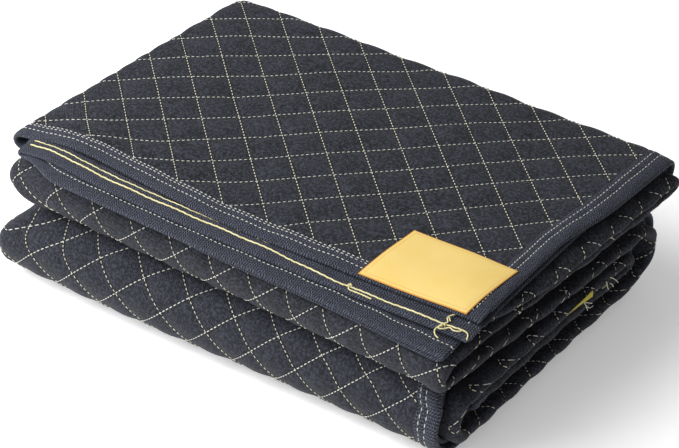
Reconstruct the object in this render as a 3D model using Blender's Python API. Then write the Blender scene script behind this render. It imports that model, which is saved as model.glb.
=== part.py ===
"""A quilted moving pad, folded up for storage.

The pad is one sheet of padded cloth with a woven tape bound over its four edges. It is folded
in half twice along its length, which gives a bundle of four layers. The bundle then lies in six
runs, one on another: the lowest three are wound round each other and the upper three lie back
and forth. X runs along the bundle, from the closed folds (-X) to the bound side edges (+X).
Y runs from the front, where the bound near end shows, to the back. Z is up from the floor.
"""

import math

import bpy
import numpy as np

MM = 0.001

# Cloth and tape, in millimetres
CLOTH_THICKNESS = 4.6
HEM_THICKNESS = 2.4
HEM_INSET = 1.6
TAPE_WIDTH = 23.0
TAPE_THICKNESS = 0.7
TAPE_GAP = 0.35
HEM_TAPER = 6.0
HEM_STATIONS = 3

# Quilting: half of a diamond's long and short diagonal, and how deep the seams lie
DIAMOND_STEP_X = 24.0
DIAMOND_STEP_Y = 22.9
QUILT_DEPTH = 1.2

# The bundle of four layers, looked at from its end
LAYER_PITCH = 6.0
BUNDLE_LENGTH = 494.0
TOP_EDGE_IN = 12.0
SECOND_EDGE_IN = 17.0
OUTER_FOLD_RADIUS = 1.5 * LAYER_PITCH
INNER_FOLD_RADIUS = 0.5 * LAYER_PITCH
INNER_LAYER_SHARES = np.array([0.06, 0.16, 0.33, 0.5, 0.66, 0.83])

# The six runs of the bundle, in the order in which the cloth passes through them:
# thickness, mid height, where it starts and ends along Y, and how far its +X and -X ends draw in
RUN_COLUMNS = ("thick", "height", "start", "end", "right_in", "left_in")
RUNS = {
    "top": (21.0, 136.6, -113.6, 184.0, 0.0, 0.0),
    "second": (23.0, 114.6, 184.0, -109.0, 1.0, 4.0),
    "third": (23.0, 91.6, -109.0, 148.0, 4.0, 3.0),
    "floor": (26.7, 13.35, 148.0, -102.0, 9.0, 0.0),
    "fifth": (26.7, 66.75, -102.0, 141.0, 7.0, 0.0),
    "inside": (26.7, 40.05, 141.0, -98.0, 9.0, 4.0),
}
RUN_STEPS = 2
TURN_STEPS = (4, 3, 5, 5, 3)
BUNDLE_THICKNESS = 4 * LAYER_PITCH + 0.5

# How far the near end stands out past the top layer's edge, layer by layer
NEAR_END_OUT = {"top": 0.0, "outer fold": -9.0, "lowest": 18.0, "third": 21.0, "second": 16.0}
NEAR_END_REACH = 110.0
NEAR_END_EASE = 150.0

# The uneven set of the stack: how far its parts have slid or sunk, and from where to where
STACK_HEIGHT = 147.0
FRONT_FROM, FRONT_FULL = 60.0, -110.0
REAR_FROM, REAR_FULL = 60.0, 180.0
FRONT_RIGHT_BACK, FRONT_RIGHT_FROM = 18.0, 100.0
REAR_OUT_LEFT, REAR_OUT_RIGHT = 4.0, 14.0
RIGHT_SIDE_IN, RIGHT_SIDE_FROM = 16.0, 250.0
LEFT_FRONT_OUT, LEFT_REAR_IN, LEFT_SIDE_TO = 8.0, 7.0, 200.0
LIP_SINK, LIP_FROM, LIP_REACH, LIP_FOOT, LIP_RISE = 12.0, -70.0, 110.0, 60.0, 80.0
LEFT_SINK, LEFT_SINK_TO, LEFT_SINK_REACH = 3.0, 60.0, 70.0

# The woven label at the front right corner of the top
LABEL_LENGTH = 96.0
LABEL_WIDTH = 72.0
LABEL_THICKNESS = 0.9
LABEL_IN_FROM_FRONT = 7.0
LABEL_IN_FROM_SIDE = 20.0
LABEL_SEAT_GAP = 0.35

# Colours in linear light
CLOTH_COLOUR = (0.022, 0.025, 0.035)
TAPE_COLOUR = (0.05, 0.055, 0.08)
LABEL_COLOUR = (0.90, 0.68, 0.19)


def run(name, column):
    """A value of one run, read by the name of its column."""
    return RUNS[name][RUN_COLUMNS.index(column)]


def bundle_section():
    """The mid line of the four layers in the bundle's own end view, and each station's layer.

    Each station has x, height in the bundle, and the two parts of the normal on the face side.
    """
    fold_x = OUTER_FOLD_RADIUS + CLOTH_THICKNESS / 2
    right_x = BUNDLE_LENGTH - INNER_FOLD_RADIUS - CLOTH_THICKNESS / 2
    high, low = 1.5 * LAYER_PITCH, 0.5 * LAYER_PITCH
    stations = []

    def straight(xs, height, side, layer):
        stations.extend((x, height, 0.0, side, layer) for x in xs)

    def turn(centre, middle, radius, first, last, steps, side, layer):
        for angle in np.radians(np.linspace(first, last, steps + 1)):
            c, s = math.cos(angle), math.sin(angle)
            stations.append((centre + radius * c, middle + radius * s, side * c, side * s, layer))

    top_right = BUNDLE_LENGTH - TOP_EDGE_IN
    tape_end = top_right - TAPE_WIDTH
    straight([top_right - HEM_INSET, tape_end - 1.0, tape_end - HEM_TAPER], high, 1.0, "top")
    first_seam = top_right - 2 * DIAMOND_STEP_X
    straight(np.arange(first_seam, fold_x + DIAMOND_STEP_X / 3, -DIAMOND_STEP_X), high, 1.0, "top")
    turn(fold_x, 0.0, OUTER_FOLD_RADIUS, 90, 270, 4, 1.0, "outer fold")
    straight(fold_x + DIAMOND_STEP_X * np.arange(1, 20), -high, -1.0, "lowest")
    turn(right_x, -LAYER_PITCH, INNER_FOLD_RADIUS, -90, 90, 3, 1.0, "side fold")
    straight(fold_x + (right_x - fold_x) * INNER_LAYER_SHARES[::-1], -low, 1.0, "third")
    turn(fold_x, 0.0, INNER_FOLD_RADIUS, 270, 90, 3, -1.0, "inner fold")
    second_right = BUNDLE_LENGTH - SECOND_EDGE_IN
    under_tape = second_right - TAPE_WIDTH - 1.0
    straight(fold_x + (right_x - fold_x) * INNER_LAYER_SHARES, low, -1.0, "second")
    straight([under_tape - HEM_TAPER], low, -1.0, "second")
    straight([under_tape, second_right - HEM_INSET], low, -1.0, "second")

    return np.array([row[:4] for row in stations]), [row[4] for row in stations]


def bundle_path():
    """The mid line of the bundle through its six runs, seen from the +X end.

    Each station has y, z, the two parts of the normal, the thickness factor of the bundle
    there, and how far its +X and -X ends draw in.
    """
    rows = []
    names = list(RUNS)
    for number, name in enumerate(names):
        start, end, height = run(name, "start"), run(name, "end"), run(name, "height")
        ahead = 1.0 if end > start else -1.0
        rest = run(name, "thick") / BUNDLE_THICKNESS, run(name, "right_in"), run(name, "left_in")
        if name == names[0]:
            tape_end = start + TAPE_WIDTH
            seam = start + DIAMOND_STEP_Y
            ys = [start + HEM_INSET, tape_end + 1.0, tape_end + HEM_TAPER]
            ys += list(np.arange(seam + DIAMOND_STEP_Y, end - DIAMOND_STEP_Y / 2, DIAMOND_STEP_Y))
        elif name == names[-1]:
            under_tape = end + TAPE_WIDTH + 1.0
            ys = [*np.linspace(start, under_tape + HEM_TAPER, RUN_STEPS + 1)[1:]]
            ys += [under_tape, end + HEM_INSET]
        else:
            ys = list(np.linspace(start, end, RUN_STEPS + 1)[1:-1])
        rows.extend((y, height, 0.0, ahead, *rest) for y in ys)
        if name == names[-1]:
            break
        after = names[number + 1]
        thick_after = run(after, "thick") / BUNDLE_THICKNESS
        next_rest = thick_after, run(after, "right_in"), run(after, "left_in")
        middle = (height + run(after, "height")) / 2
        radius = abs(height - run(after, "height")) / 2
        down = 1.0 if run(after, "height") < height else -1.0
        for part in np.linspace(0.0, 1.0, TURN_STEPS[number] + 1):
            turned = math.pi * part
            out, up = math.sin(turned), math.cos(turned) * down
            share = [a + (b - a) * part for a, b in zip(rest, next_rest)]
            facing = ahead * down
            rows.append((end + ahead * radius * out, middle + radius * up,
                         facing * ahead * out, facing * up, *share))
    return np.array(rows)


def path_lengths(path):
    """The distance along the mid line of the bundle at each of its stations."""
    return np.r_[0.0, np.cumsum(np.hypot(*np.diff(path[:, :2], axis=0).T))]


def near_end_out(section_table, layers):
    """How far each station of the section stands out at the near end, smooth over the folds."""
    out = np.array([NEAR_END_OUT.get(layer, np.nan) for layer in layers])
    fold_side = smooth_step((section_table[:, 0] - 10.0) / NEAR_END_EASE)
    inner, outer = NEAR_END_OUT["third"] - 8.0, NEAR_END_OUT["outer fold"]
    for index, layer in enumerate(layers):
        if layer == "side fold":
            share = (section_table[index, 1] + 1.5 * LAYER_PITCH) / LAYER_PITCH
            out[index] = NEAR_END_OUT["lowest"] * (1 - share) + NEAR_END_OUT["third"] * share
        elif layer == "inner fold":
            out[index] = inner
        else:
            corner = inner if layer in ("second", "third") else outer
            out[index] = corner + (out[index] - corner) * fold_side[index]
    return out


def smooth_step(value):
    """0 below 0, 1 above 1, and a smooth rise between."""
    value = np.clip(value, 0.0, 1.0)
    return value * value * (3.0 - 2.0 * value)


def ramp(value, start, end):
    """0 before start, 1 after end, and a straight rise between."""
    return np.clip((value - start) / (end - start), 0.0, 1.0)


def settle(x, y, z):
    """The uneven set of the whole stack: it is gentle, so that no two layers meet.

    The front right corner has slid back and the lower right side in, the rear stands out most
    at the right, and the front edge of the top has sunk.
    """
    raised = np.clip(z / STACK_HEIGHT, 0.0, 1.0)
    front, rear = ramp(y, FRONT_FROM, FRONT_FULL), ramp(y, REAR_FROM, REAR_FULL)
    corner = ramp(x, FRONT_RIGHT_FROM, BUNDLE_LENGTH) ** (1.0 + raised)
    rear_out = REAR_OUT_LEFT + (REAR_OUT_RIGHT - REAR_OUT_LEFT) * x / BUNDLE_LENGTH
    side = ramp(x, RIGHT_SIDE_FROM, BUNDLE_LENGTH) * (1.0 - raised**4)
    side_in = side * (0.8 - 0.9 * rear + 0.2 * front)
    left = ramp(x, LEFT_SIDE_TO, 0.0) * raised
    lip = smooth_step((LIP_FROM - y) / LIP_REACH) * smooth_step((z - LIP_FOOT) / LIP_RISE)
    sunk_left = smooth_step((LEFT_SINK_TO - x) / LEFT_SINK_REACH) * raised**2
    x = x - RIGHT_SIDE_IN * side_in + left * (LEFT_REAR_IN * rear - LEFT_FRONT_OUT * front)
    y = y + FRONT_RIGHT_BACK * corner * front + rear_out * rear
    z = z - LIP_SINK * lip - LEFT_SINK * sunk_left
    return x, y, z


def place(section_points, path, out, reach):
    """Points of the end view carried along the path.

    section_points holds x and height for each station of the section, and path a row for each
    station along the bundle. The result has the shape (path, section, 3), in millimetres.
    """
    across, height = section_points[None, :, 0], section_points[None, :, 1]
    y, z, ny, nz, thick, right_in, left_in = (column[:, None] for column in path.T)
    share = across / BUNDLE_LENGTH
    x = across - right_in * share + left_in * (1.0 - share)
    offset = height * thick
    near = 1.0 - smooth_step(reach[:, None] / NEAR_END_REACH)
    y_out = y + offset * ny - out[None, :] * near
    return np.stack(settle(x + 0.0 * y, y_out, z + offset * nz), axis=-1)


def quilting(layers, path):
    """1 on the crown of a diamond and 0 on a seam crossing, for each station of path and section."""
    quilted = np.array([layer in ("top", "lowest") for layer in layers])
    quilted[:HEM_STATIONS] = False
    rows, columns = np.indices((len(path), len(layers)))
    crown = ((rows + columns) % 2).astype(float)
    crown[:, ~quilted] = 1.0
    crown[:HEM_STATIONS] = 1.0
    on_floor = (abs(path[:, 2]) < 0.001) & (path[:, 1] <= run("floor", "height"))
    crown[on_floor] = 1.0
    return crown


def hem_thinning(rows, columns):
    """The cloth's thickness at each station, thin where the tape holds its rims."""
    thickness = np.full((rows, columns), CLOTH_THICKNESS)
    thin = HEM_STATIONS - 1
    thickness[:thin] = thickness[-thin:] = HEM_THICKNESS
    thickness[:, :thin] = thickness[:, -thin:] = HEM_THICKNESS
    return thickness


def closed_sheet(name, face, back, quilted=None):
    """A closed mesh between two grids of points, with its four rims closed.

    A quad of a quilted cell is split along the seam that crosses it, and any other from its
    first corner.
    """
    rows, columns = face.shape[:2]
    number = np.arange(rows * columns).reshape(rows, columns)
    under = number + rows * columns
    even = (np.indices((rows - 1, columns - 1)).sum(axis=0) % 2 == 0).ravel()
    if quilted is not None:
        cells = quilted[:-1, :-1] & quilted[1:, 1:] & quilted[:-1, 1:] & quilted[1:, :-1]
        even |= ~cells.ravel()

    def triangles(grid):
        """Two triangles for each quad of a grid of point numbers."""
        corners = grid[:-1, :-1], grid[:-1, 1:], grid[1:, 1:], grid[1:, :-1]
        a, b, c, d = (part.ravel() for part in corners)
        first = np.where(even[:, None], np.stack([a, b, c], 1), np.stack([a, b, d], 1))
        second = np.where(even[:, None], np.stack([a, c, d], 1), np.stack([b, c, d], 1))
        return np.concatenate([first, second])

    faces = [*triangles(number)[:, ::-1].tolist(), *triangles(under).tolist()]
    for line, below in ((number[0], under[0]), (number[-1, ::-1], under[-1, ::-1]),
                        (number[::-1, 0], under[::-1, 0]), (number[:, -1], under[:, -1])):
        faces.extend(np.stack([line[1:], below[1:], below[:-1], line[:-1]], axis=-1).tolist())
    points = np.concatenate([face.reshape(-1, 3), back.reshape(-1, 3)])
    return new_object(name, points, faces)


def closed_sweep(name, sections, insets, rising):
    """A closed mesh through a row of closed sections, with both ends capped.

    insets says how far in from the cloth's rim each point of a section lies. Each side quad is
    split as the cloth under it is: from the rim inwards where rising, else from inside out.
    """
    count, around = sections.shape[:2]
    number = np.arange(count * around).reshape(count, around)
    ahead = np.roll(number, -1, axis=1)
    inward = np.roll(insets, -1) >= insets
    a, b, c, d = (part.ravel() for part in (number[:-1], ahead[:-1], ahead[1:], number[1:]))
    from_a = np.broadcast_to(inward == rising, (count - 1, around)).ravel()[:, None]
    first = np.where(from_a, np.stack([a, b, c], 1), np.stack([a, b, d], 1))
    second = np.where(from_a, np.stack([a, c, d], 1), np.stack([b, c, d], 1))
    faces = [*first.tolist(), *second.tolist(), number[0, ::-1].tolist(), number[-1].tolist()]
    return new_object(name, sections.reshape(-1, 3), faces)


def new_object(name, points, faces):
    """A mesh object from points in millimetres, with its faces turned outwards."""
    mesh = bpy.data.meshes.new(name)
    mesh.from_pydata((points * MM).tolist(), [], faces)
    if signed_volume(points, faces) < 0:
        mesh.flip_normals()
    mesh.shade_smooth()
    mesh.set_sharp_from_angle(angle=math.radians(60))
    return bpy.data.objects.new(name, mesh)


def signed_volume(points, faces):
    """Six times the volume inside the faces, less than 0 where they point inwards."""
    total = 0.0
    for face in faces:
        first = points[face[0]]
        for second, third in zip(face[1:-1], face[2:]):
            total += float(np.dot(first, np.cross(points[second], points[third])))
    return total


def make_cloth(section, layers, path, out):
    """The whole sheet as one closed solid, with its quilting raised on the outer layers."""
    crown = quilting(layers, path)
    thickness = hem_thinning(len(path), len(section))
    half = thickness / 2
    full = thickness == CLOTH_THICKNESS
    raised = half - np.where(full, QUILT_DEPTH * (1.0 - crown), 0.0)
    reach = path_lengths(path)
    sides = []
    for offset in (raised, -half):
        rows = []
        for distances, station, length in zip(offset, path, reach):
            moved = offset_section(section, distances)
            rows.append(place(moved, station[None], out, np.array([length])))
        sides.append(np.concatenate(rows))
    quilted = np.zeros(crown.shape, bool)
    quilted[HEM_STATIONS:-HEM_STATIONS] = np.array([layer in ("top", "lowest") for layer in layers])
    return closed_sheet("quilted_cloth", *sides, quilted)


def offset_section(section, distance):
    """The section's mid line moved along its normals."""
    return section[:, :2] + section[:, 2:4] * np.asarray(distance).reshape(-1, 1)


def tape_profile():
    """The tape's own section, a U over the cloth's rim: distance in from the rim, and height."""
    inner = HEM_THICKNESS / 2 + TAPE_GAP
    outer = inner + TAPE_THICKNESS
    upper = [(TAPE_WIDTH, inner), (TAPE_WIDTH, outer), (0.0, outer - TAPE_THICKNESS / 2)]
    lower = [(inset, -height) for inset, height in upper[::-1]]
    bottom = HEM_INSET - 2 * TAPE_GAP
    return np.array([*upper, *lower, (bottom, -inner), (bottom, inner)])


def make_end_tape(name, section, path, out, at_start):
    """The tape over the near or the far end of the cloth, folded with its layers."""
    edge = run("top", "start") if at_start else run("inside", "end")
    row = path[0] if at_start else path[-1]
    sections = []
    for inset, height in tape_profile():
        station = row.copy()
        station[0] = edge + inset
        moved = offset_section(section, np.full(len(section), height))
        reach = np.array([inset if at_start else NEAR_END_REACH])
        sections.append(place(moved, station[None], out, reach)[0])
    return closed_sweep(name, np.stack(sections, axis=1), tape_profile()[:, 0], at_start)


def make_side_tape(name, section, path, out, at_top):
    """The tape over one side edge of the cloth, from end to end of the bundle's path."""
    edge = BUNDLE_LENGTH - (TOP_EDGE_IN if at_top else SECOND_EDGE_IN)
    row = section[0] if at_top else section[-1]
    own_out = out[0] if at_top else out[-1]
    reach = path_lengths(path)
    inside_ends = path.copy()
    clear = TAPE_WIDTH + TAPE_GAP
    inside_ends[0, 0] = run("top", "start") + clear
    inside_ends[-1, 0] = run("inside", "end") + clear
    keep = np.ones(len(path), bool)
    keep[1] = keep[-2] = False
    reach[0] = clear
    profile = tape_profile()
    points = np.stack([edge - profile[:, 0], row[1] + profile[:, 1] * row[3]], axis=-1)
    outs = np.full(len(points), own_out)
    return closed_sweep(name, place(points, inside_ends[keep], outs, reach[keep]), profile[:, 0], at_top)


def make_label(out):
    """The woven label, which lies over the front right corner of the top layer."""
    edge = BUNDLE_LENGTH - TOP_EDGE_IN - LABEL_IN_FROM_SIDE
    xs = edge - np.linspace(0.0, LABEL_LENGTH, 8)
    insets = LABEL_IN_FROM_FRONT + np.linspace(0.0, LABEL_WIDTH, 6)
    rest = (run("top", "thick") / BUNDLE_THICKNESS, run("top", "right_in"), run("top", "left_in"))
    start, height = run("top", "start"), run("top", "height")
    path = np.array([(start + inset, height, 0.0, 1.0, *rest) for inset in insets])
    seat = 1.5 * LAYER_PITCH + CLOTH_THICKNESS / 2 + LABEL_SEAT_GAP / rest[0]
    sides = []
    for height in (seat + LABEL_THICKNESS, seat):
        points = np.stack([xs, np.full(len(xs), height)], axis=-1)
        sides.append(place(points, path, np.full(len(xs), out[0]), insets))
    return closed_sheet("woven_label", *sides)


def paint(obj, name, colour, roughness):
    """Gives an object a material of its own."""
    material = bpy.data.materials.new(name)
    material.use_nodes = True
    shader = material.node_tree.nodes["Principled BSDF"]
    shader.inputs["Base Color"].default_value = (*colour, 1.0)
    shader.inputs["Roughness"].default_value = roughness
    shader.inputs["Metallic"].default_value = 0.0
    obj.data.materials.append(material)


def stand_on_origin(objects):
    """Moves the whole part so that its box stands centred on the origin, on z = 0."""
    clouds = []
    for obj in objects:
        points = np.empty(3 * len(obj.data.vertices), np.float32)
        obj.data.vertices.foreach_get("co", points)
        clouds.append(points.reshape(-1, 3))
    low = np.min([cloud.min(axis=0) for cloud in clouds], axis=0)
    high = np.max([cloud.max(axis=0) for cloud in clouds], axis=0)
    shift = np.array([(low[0] + high[0]) / 2, (low[1] + high[1]) / 2, low[2]], np.float32)
    for obj, cloud in zip(objects, clouds):
        obj.data.vertices.foreach_set("co", (cloud - shift).ravel())
        obj.data.update()


def main():
    for obj in list(bpy.data.objects):
        bpy.data.objects.remove(obj, do_unlink=True)
    section, layers = bundle_section()
    path = bundle_path()
    out = near_end_out(section, layers)
    cloth = make_cloth(section, layers, path, out)
    tapes = [
        make_end_tape("near_end_tape", section, path, out, True),
        make_end_tape("far_end_tape", section, path, out, False),
        make_side_tape("top_side_tape", section, path, out, True),
        make_side_tape("second_side_tape", section, path, out, False),
    ]
    label = make_label(out)
    paint(cloth, "quilted_polyester", CLOTH_COLOUR, 0.9)
    for tape in tapes:
        paint(tape, tape.name + "_twill", TAPE_COLOUR, 0.8)
    paint(label, "woven_label_face", LABEL_COLOUR, 0.6)
    collection = bpy.data.collections.new("moving_pad")
    bpy.context.scene.collection.children.link(collection)
    for obj in (cloth, *tapes, label):
        collection.objects.link(obj)
    stand_on_origin((cloth, *tapes, label))


main()
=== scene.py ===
"""A folded moving pad of quilted charcoal polyester, bound with grey-blue twill tape.

The pad is one sheet. A point of it is named by s, the distance across the sheet from the edge
that lies on the top at the right, and t, the distance along it from the bound end at the front.
Every piece is laid on the folded sheet by those two numbers, so that stitches, tape and label
follow its folds. Sizes are in millimetres until a mesh is made.
"""

import math

import bpy
import numpy as np
from mathutils import Matrix, Vector


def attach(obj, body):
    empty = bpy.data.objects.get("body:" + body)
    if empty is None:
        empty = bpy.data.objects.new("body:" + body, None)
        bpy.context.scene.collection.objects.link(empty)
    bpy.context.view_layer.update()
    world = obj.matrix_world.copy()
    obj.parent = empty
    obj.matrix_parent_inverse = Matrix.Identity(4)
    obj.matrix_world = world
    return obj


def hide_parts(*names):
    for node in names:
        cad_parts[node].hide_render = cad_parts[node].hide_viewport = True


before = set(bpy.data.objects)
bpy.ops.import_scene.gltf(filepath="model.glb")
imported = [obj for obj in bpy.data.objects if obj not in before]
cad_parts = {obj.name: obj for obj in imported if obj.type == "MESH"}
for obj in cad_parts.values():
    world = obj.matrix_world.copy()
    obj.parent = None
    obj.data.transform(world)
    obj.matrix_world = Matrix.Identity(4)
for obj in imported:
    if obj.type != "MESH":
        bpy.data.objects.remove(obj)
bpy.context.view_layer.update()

MM = 0.001

# Where the part's origin lies in the sizes below
PART_ORIGIN = np.array([243.575, 39.715, 1.035])

# Cloth and tape
CLOTH_HALF = 2.3
HEM_HALF = 1.2
HEM_INSET = 1.6
SIDE_TAPE_WIDTH = 23.0
END_TAPE_WIDTH = 20.0
TAPE_HALF = 2.35
TAPE_GAP = 0.25
RIM_ROLL = 0.1

# How far from the tape's edge the cloth thickens, and how the tape swells with it
HEM_EASE = (-2.0, 5.0)
TAPE_SWELL, TAPE_LEVEL, TAPE_SWELL_EASE = 1.2, 0.6, (1.0, 5.0)
TAPE_OUTSIDE_FROM = 1.6

# The tape's edge waves a little: by what share of its width, and a radian's length on each way
SCALLOP, END_WAVE, SIDE_WAVE = 0.03, 3.82, 3.65

# A tape's inner side: how far in from the rim its points lie, on each face
TAPE_INNER_IN = (23.2, 16.0, 9.0, 1.5)
TAPE_INNER_POINTS = 2 * len(TAPE_INNER_IN)

# The quilting: a diamond's long and short diagonal, where its pattern starts, and its depth
DIAMOND_X = 48.0
DIAMOND_Y = 45.8
PATTERN_START_X = -118.0
SEAM_SINK = 1.5
BACK_SEAM_SINK = 0.9
CROWN_RISE = 0.6
CROWN_STEEPNESS = 0.6

# The bundle of four layers
LAYER_PITCH = 6.0
BUNDLE_LENGTH = 494.0
TOP_EDGE_IN = 12.0
SECOND_EDGE_IN = 17.0
OUTER_FOLD_RADIUS = 1.5 * LAYER_PITCH
INNER_FOLD_RADIUS = 0.5 * LAYER_PITCH
BUNDLE_THICKNESS = 4 * LAYER_PITCH + 0.5

# The six runs: thickness, mid height, where it starts and ends, how far its ends draw in
RUN_COLUMNS = ("thick", "height", "start", "end", "right_in", "left_in")
RUNS = {
    "top": (21.0, 136.6, -113.6, 184.0, 0.0, 0.0),
    "second": (23.0, 114.6, 184.0, -109.0, 1.0, 4.0),
    "third": (23.0, 91.6, -109.0, 148.0, 4.0, 3.0),
    "floor": (26.7, 13.35, 148.0, -102.0, 9.0, 0.0),
    "fifth": (26.7, 66.75, -102.0, 141.0, 7.0, 0.0),
    "inside": (26.7, 40.05, 141.0, -98.0, 9.0, 4.0),
}

# How far apart the mesh's rows lie in the runs that are hidden
HIDDEN_STEP, INSIDE_STEP = 7.6, 12.0

# How far the near end stands out past the top layer's edge, layer by layer
NEAR_END_OUT = {"top": -4.0, "outer fold": -13.0, "lowest": 18.0, "third": 21.0, "second": 10.0}
INNER_FOLD_OUT = 6.0
NEAR_END_REACH = 110.0
NEAR_END_FROM, NEAR_END_EASE = 60.0, 170.0
INNER_END_FROM, INNER_END_EASE = 30.0, 100.0
THIRD_END_FROM, THIRD_END_EASE = 10.0, 60.0

# How far the top's side edge draws in at the front: over what width, and where along it it ends
TOP_SIDE_IN, TOP_SIDE_WIDTH, TOP_SIDE_FROM, TOP_SIDE_EASE = 8.0, 70.0, 130.0, 90.0

# At the near end's left the inner fold is tucked in and the outer one bulges out and down
FOLD_TUCK, FOLD_TUCK_WIDTH, FOLD_TUCK_REACH, FOLD_DROP = 9.0, 90.0, 90.0, 7.0

# At the near end's right the side fold is tucked in and hangs down, over a reach along the sheet
SIDE_TUCK, SIDE_TUCK_FROM, SIDE_TUCK_REACH, SIDE_DROP = 17.0, 330.0, 120.0, 4.0

# The uneven set of the stack: how far its parts have slid or sunk, and from where to where
STACK_HEIGHT = 147.0
FRONT_FROM, FRONT_FULL, FRONT_RIM = 60.0, -110.0, -115.0
REAR_FROM, REAR_FULL = 60.0, 180.0
FRONT_RIGHT_BACK, FRONT_RIGHT_FROM = 18.0, 100.0
REAR_OUT_LEFT, REAR_OUT_RIGHT = 4.0, 14.0
RIGHT_SIDE_IN, RIGHT_SIDE_FROM = 16.0, 250.0
SIDE_IN_MIDDLE, SIDE_IN_REAR, SIDE_IN_FRONT = 0.62, -0.72, 0.2
LEFT_FRONT_OUT, LEFT_REAR_IN, LEFT_SIDE_TO = 8.0, 7.0, 200.0
LIP_SINK, LIP_FROM, LIP_REACH, LIP_FOOT, LIP_RISE = 12.0, -70.0, 110.0, 60.0, 80.0
LEFT_SINK, LEFT_SINK_TO, LEFT_SINK_REACH = 3.0, 60.0, 70.0
HEM_ROLL, HEM_ROLL_FROM, HEM_ROLL_TO = 5.0, 462.0, 490.0
CORNER_SINK = 5.0
REAR_RIGHT_SINK, REAR_RIGHT_FROM, REAR_SINK_GROWTH = 6.0, 280.0, 1.4
REAR_RIGHT_OUT, REAR_FOOT_IN, REAR_OUT_FROM = 5.5, 4.5, 350.0

# The lower rounded fold: out at its left end, back towards its right one
LOWER_TOP, LOWER_EASE = 50.0, 40.0
LOWER_LEFT_OUT, LOWER_FRONT_OUT, LOWER_FRONT_TO = 4.5, 5.0, 260.0
LOWER_BACK, LOWER_BACK_FROM, LOWER_BACK_TO = 6.0, 150.0, 420.0

# The front right corner: at each height, its share of the slide back and how far it draws in
CORNER = ((0.0, 0.5, 3.0), (60.0, 0.5, 4.0), (85.0, 0.0, 18.0), (118.0, 0.0, 18.0),
          (134.0, 0.6, 8.0), (140.0, 1.0, 0.0))
CORNER_IN_FROM = 300.0

# The notch between the two rounded folds at the left: how deep, how high up, and its reach
NOTCH_IN, NOTCH_HEIGHT, NOTCH_RISE, NOTCH_WIDTH = 29.0, 80.0, 20.0, 120.0
NOTCH_REAR_SHARE = 0.4

# The quilting on the upper rounded fold: where its pattern starts, its diamond, and its climb
UPPER_FOLD_START, UPPER_FOLD_DIAMOND = -88.3, 44.4
UPPER_FOLD_RISE, UPPER_FOLD_CLIMB = 0.005, 0.0012

# Between which t the pattern of the top gives way to that of the upper fold, and of the lower
UPPER_PATTERN, LOWER_PATTERN = (340.0, 600.0), (700.0, 1000.0)

# How far back the shallow seams have drifted on the top: at x, in diamonds
DRIFT = ((0.0, 0.45), (43.0, 0.29), (95.0, 0.1), (125.0, 0.0), (200.0, -0.06), (267.0, -0.07),
         (338.0, 0.0), (383.0, 0.13), (430.0, 0.29), (482.0, 0.38))
FRONT_DRIFT, FRONT_DRIFT_FULL, FRONT_DRIFT_EASE, FRONT_DRIFT_ACROSS = 0.38, 15.0, 45.0, (240.0, 110.0)
REAR_DRIFT, REAR_DRIFT_ALONG = -0.13, (250.0, 290.0)
RIGHT_DRIFT_LATE, LATE_ALONG, LATE_ACROSS = 20.0, (130.0, 200.0), (300.0, 380.0)

# Over what width the grid of the cloth is fitted to its slid seams, and the share of each step
FITTED_EASE, STEP_SHARE = 60.0, 0.6

# How the quilting has shifted on the lower rounded fold, in diamonds
LOWER_FOLD_SHIFT = (-0.39, -0.04)

# The top's waves: how high, how long a radian of them is each way, where they start and end
LONG_WAVE, LONG_WAVE_ACROSS, LONG_WAVE_ALONG = 0.7, (61.0, 0.7), (47.0, 1.1)
SHORT_WAVE, SHORT_WAVE_ACROSS, SHORT_WAVE_ALONG = 0.5, 23.0, 37.0
SLACK_ALONG, SLACK_ACROSS = (290.0, 320.0), (465.0, 490.0)

# The top's creases: from, to, how deep and how wide
TOP_CREASES = (((27.0, 211.0), (182.0, 124.0), 1.1, 3.5),
               ((122.0, 164.0), (186.0, 138.0), 0.8, 3.0),
               ((300.0, 250.0), (380.0, 205.0), 0.7, 4.0))

# Stitches: their pitch and size, the share of the pitch they fill, and how high they lie
STITCH_PITCH = 4.5
STITCH_WIDTH = 0.95
STITCH_HEIGHT = 0.8
STITCH_FILL = (0.68, 0.8)
TOP_STITCH_RAISE, FOLD_STITCH_RAISE = 0.5, 0.8
FIRST_SEAM, LAST_SEAM = -45, 60

# How far over a stitch the point lies that gives its upper side
UP_POINT = 5.0

# Rounds of stepping to a place of the pattern, from a rough guess and from a near one
GUESS_ROUNDS, NEAR_ROUNDS = 60, 25

# The rows of stitches in the tapes: how far in from the rim, how high, and where they begin
END_ROWS = (18.5, 15.8, 9.5)
SIDE_ROWS = (18.5, 12.0)
LAYER_THREE_ROW = 11.0
SECOND_SIDE_ROW = 12.3
DASH_RAISE, DASH_START, DASH_FILL = 0.35, 14.0, 0.72

# The chain stitch on the second layer: how far in, its radius, and the s where it comes loose
CHAIN_ROWS = ((9.8, 0.75, 1924.0), (15.2, 0.55, 1738.0))
CHAIN_OUT, CHAIN_OUT_FROM, CHAIN_OUT_REACH = 5.3, 1720.0, 105.0
CHAIN_STEP, CHAIN_WOBBLE, CHAIN_WOBBLE_LENGTH = 1.5, 0.2, 1.1

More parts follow.
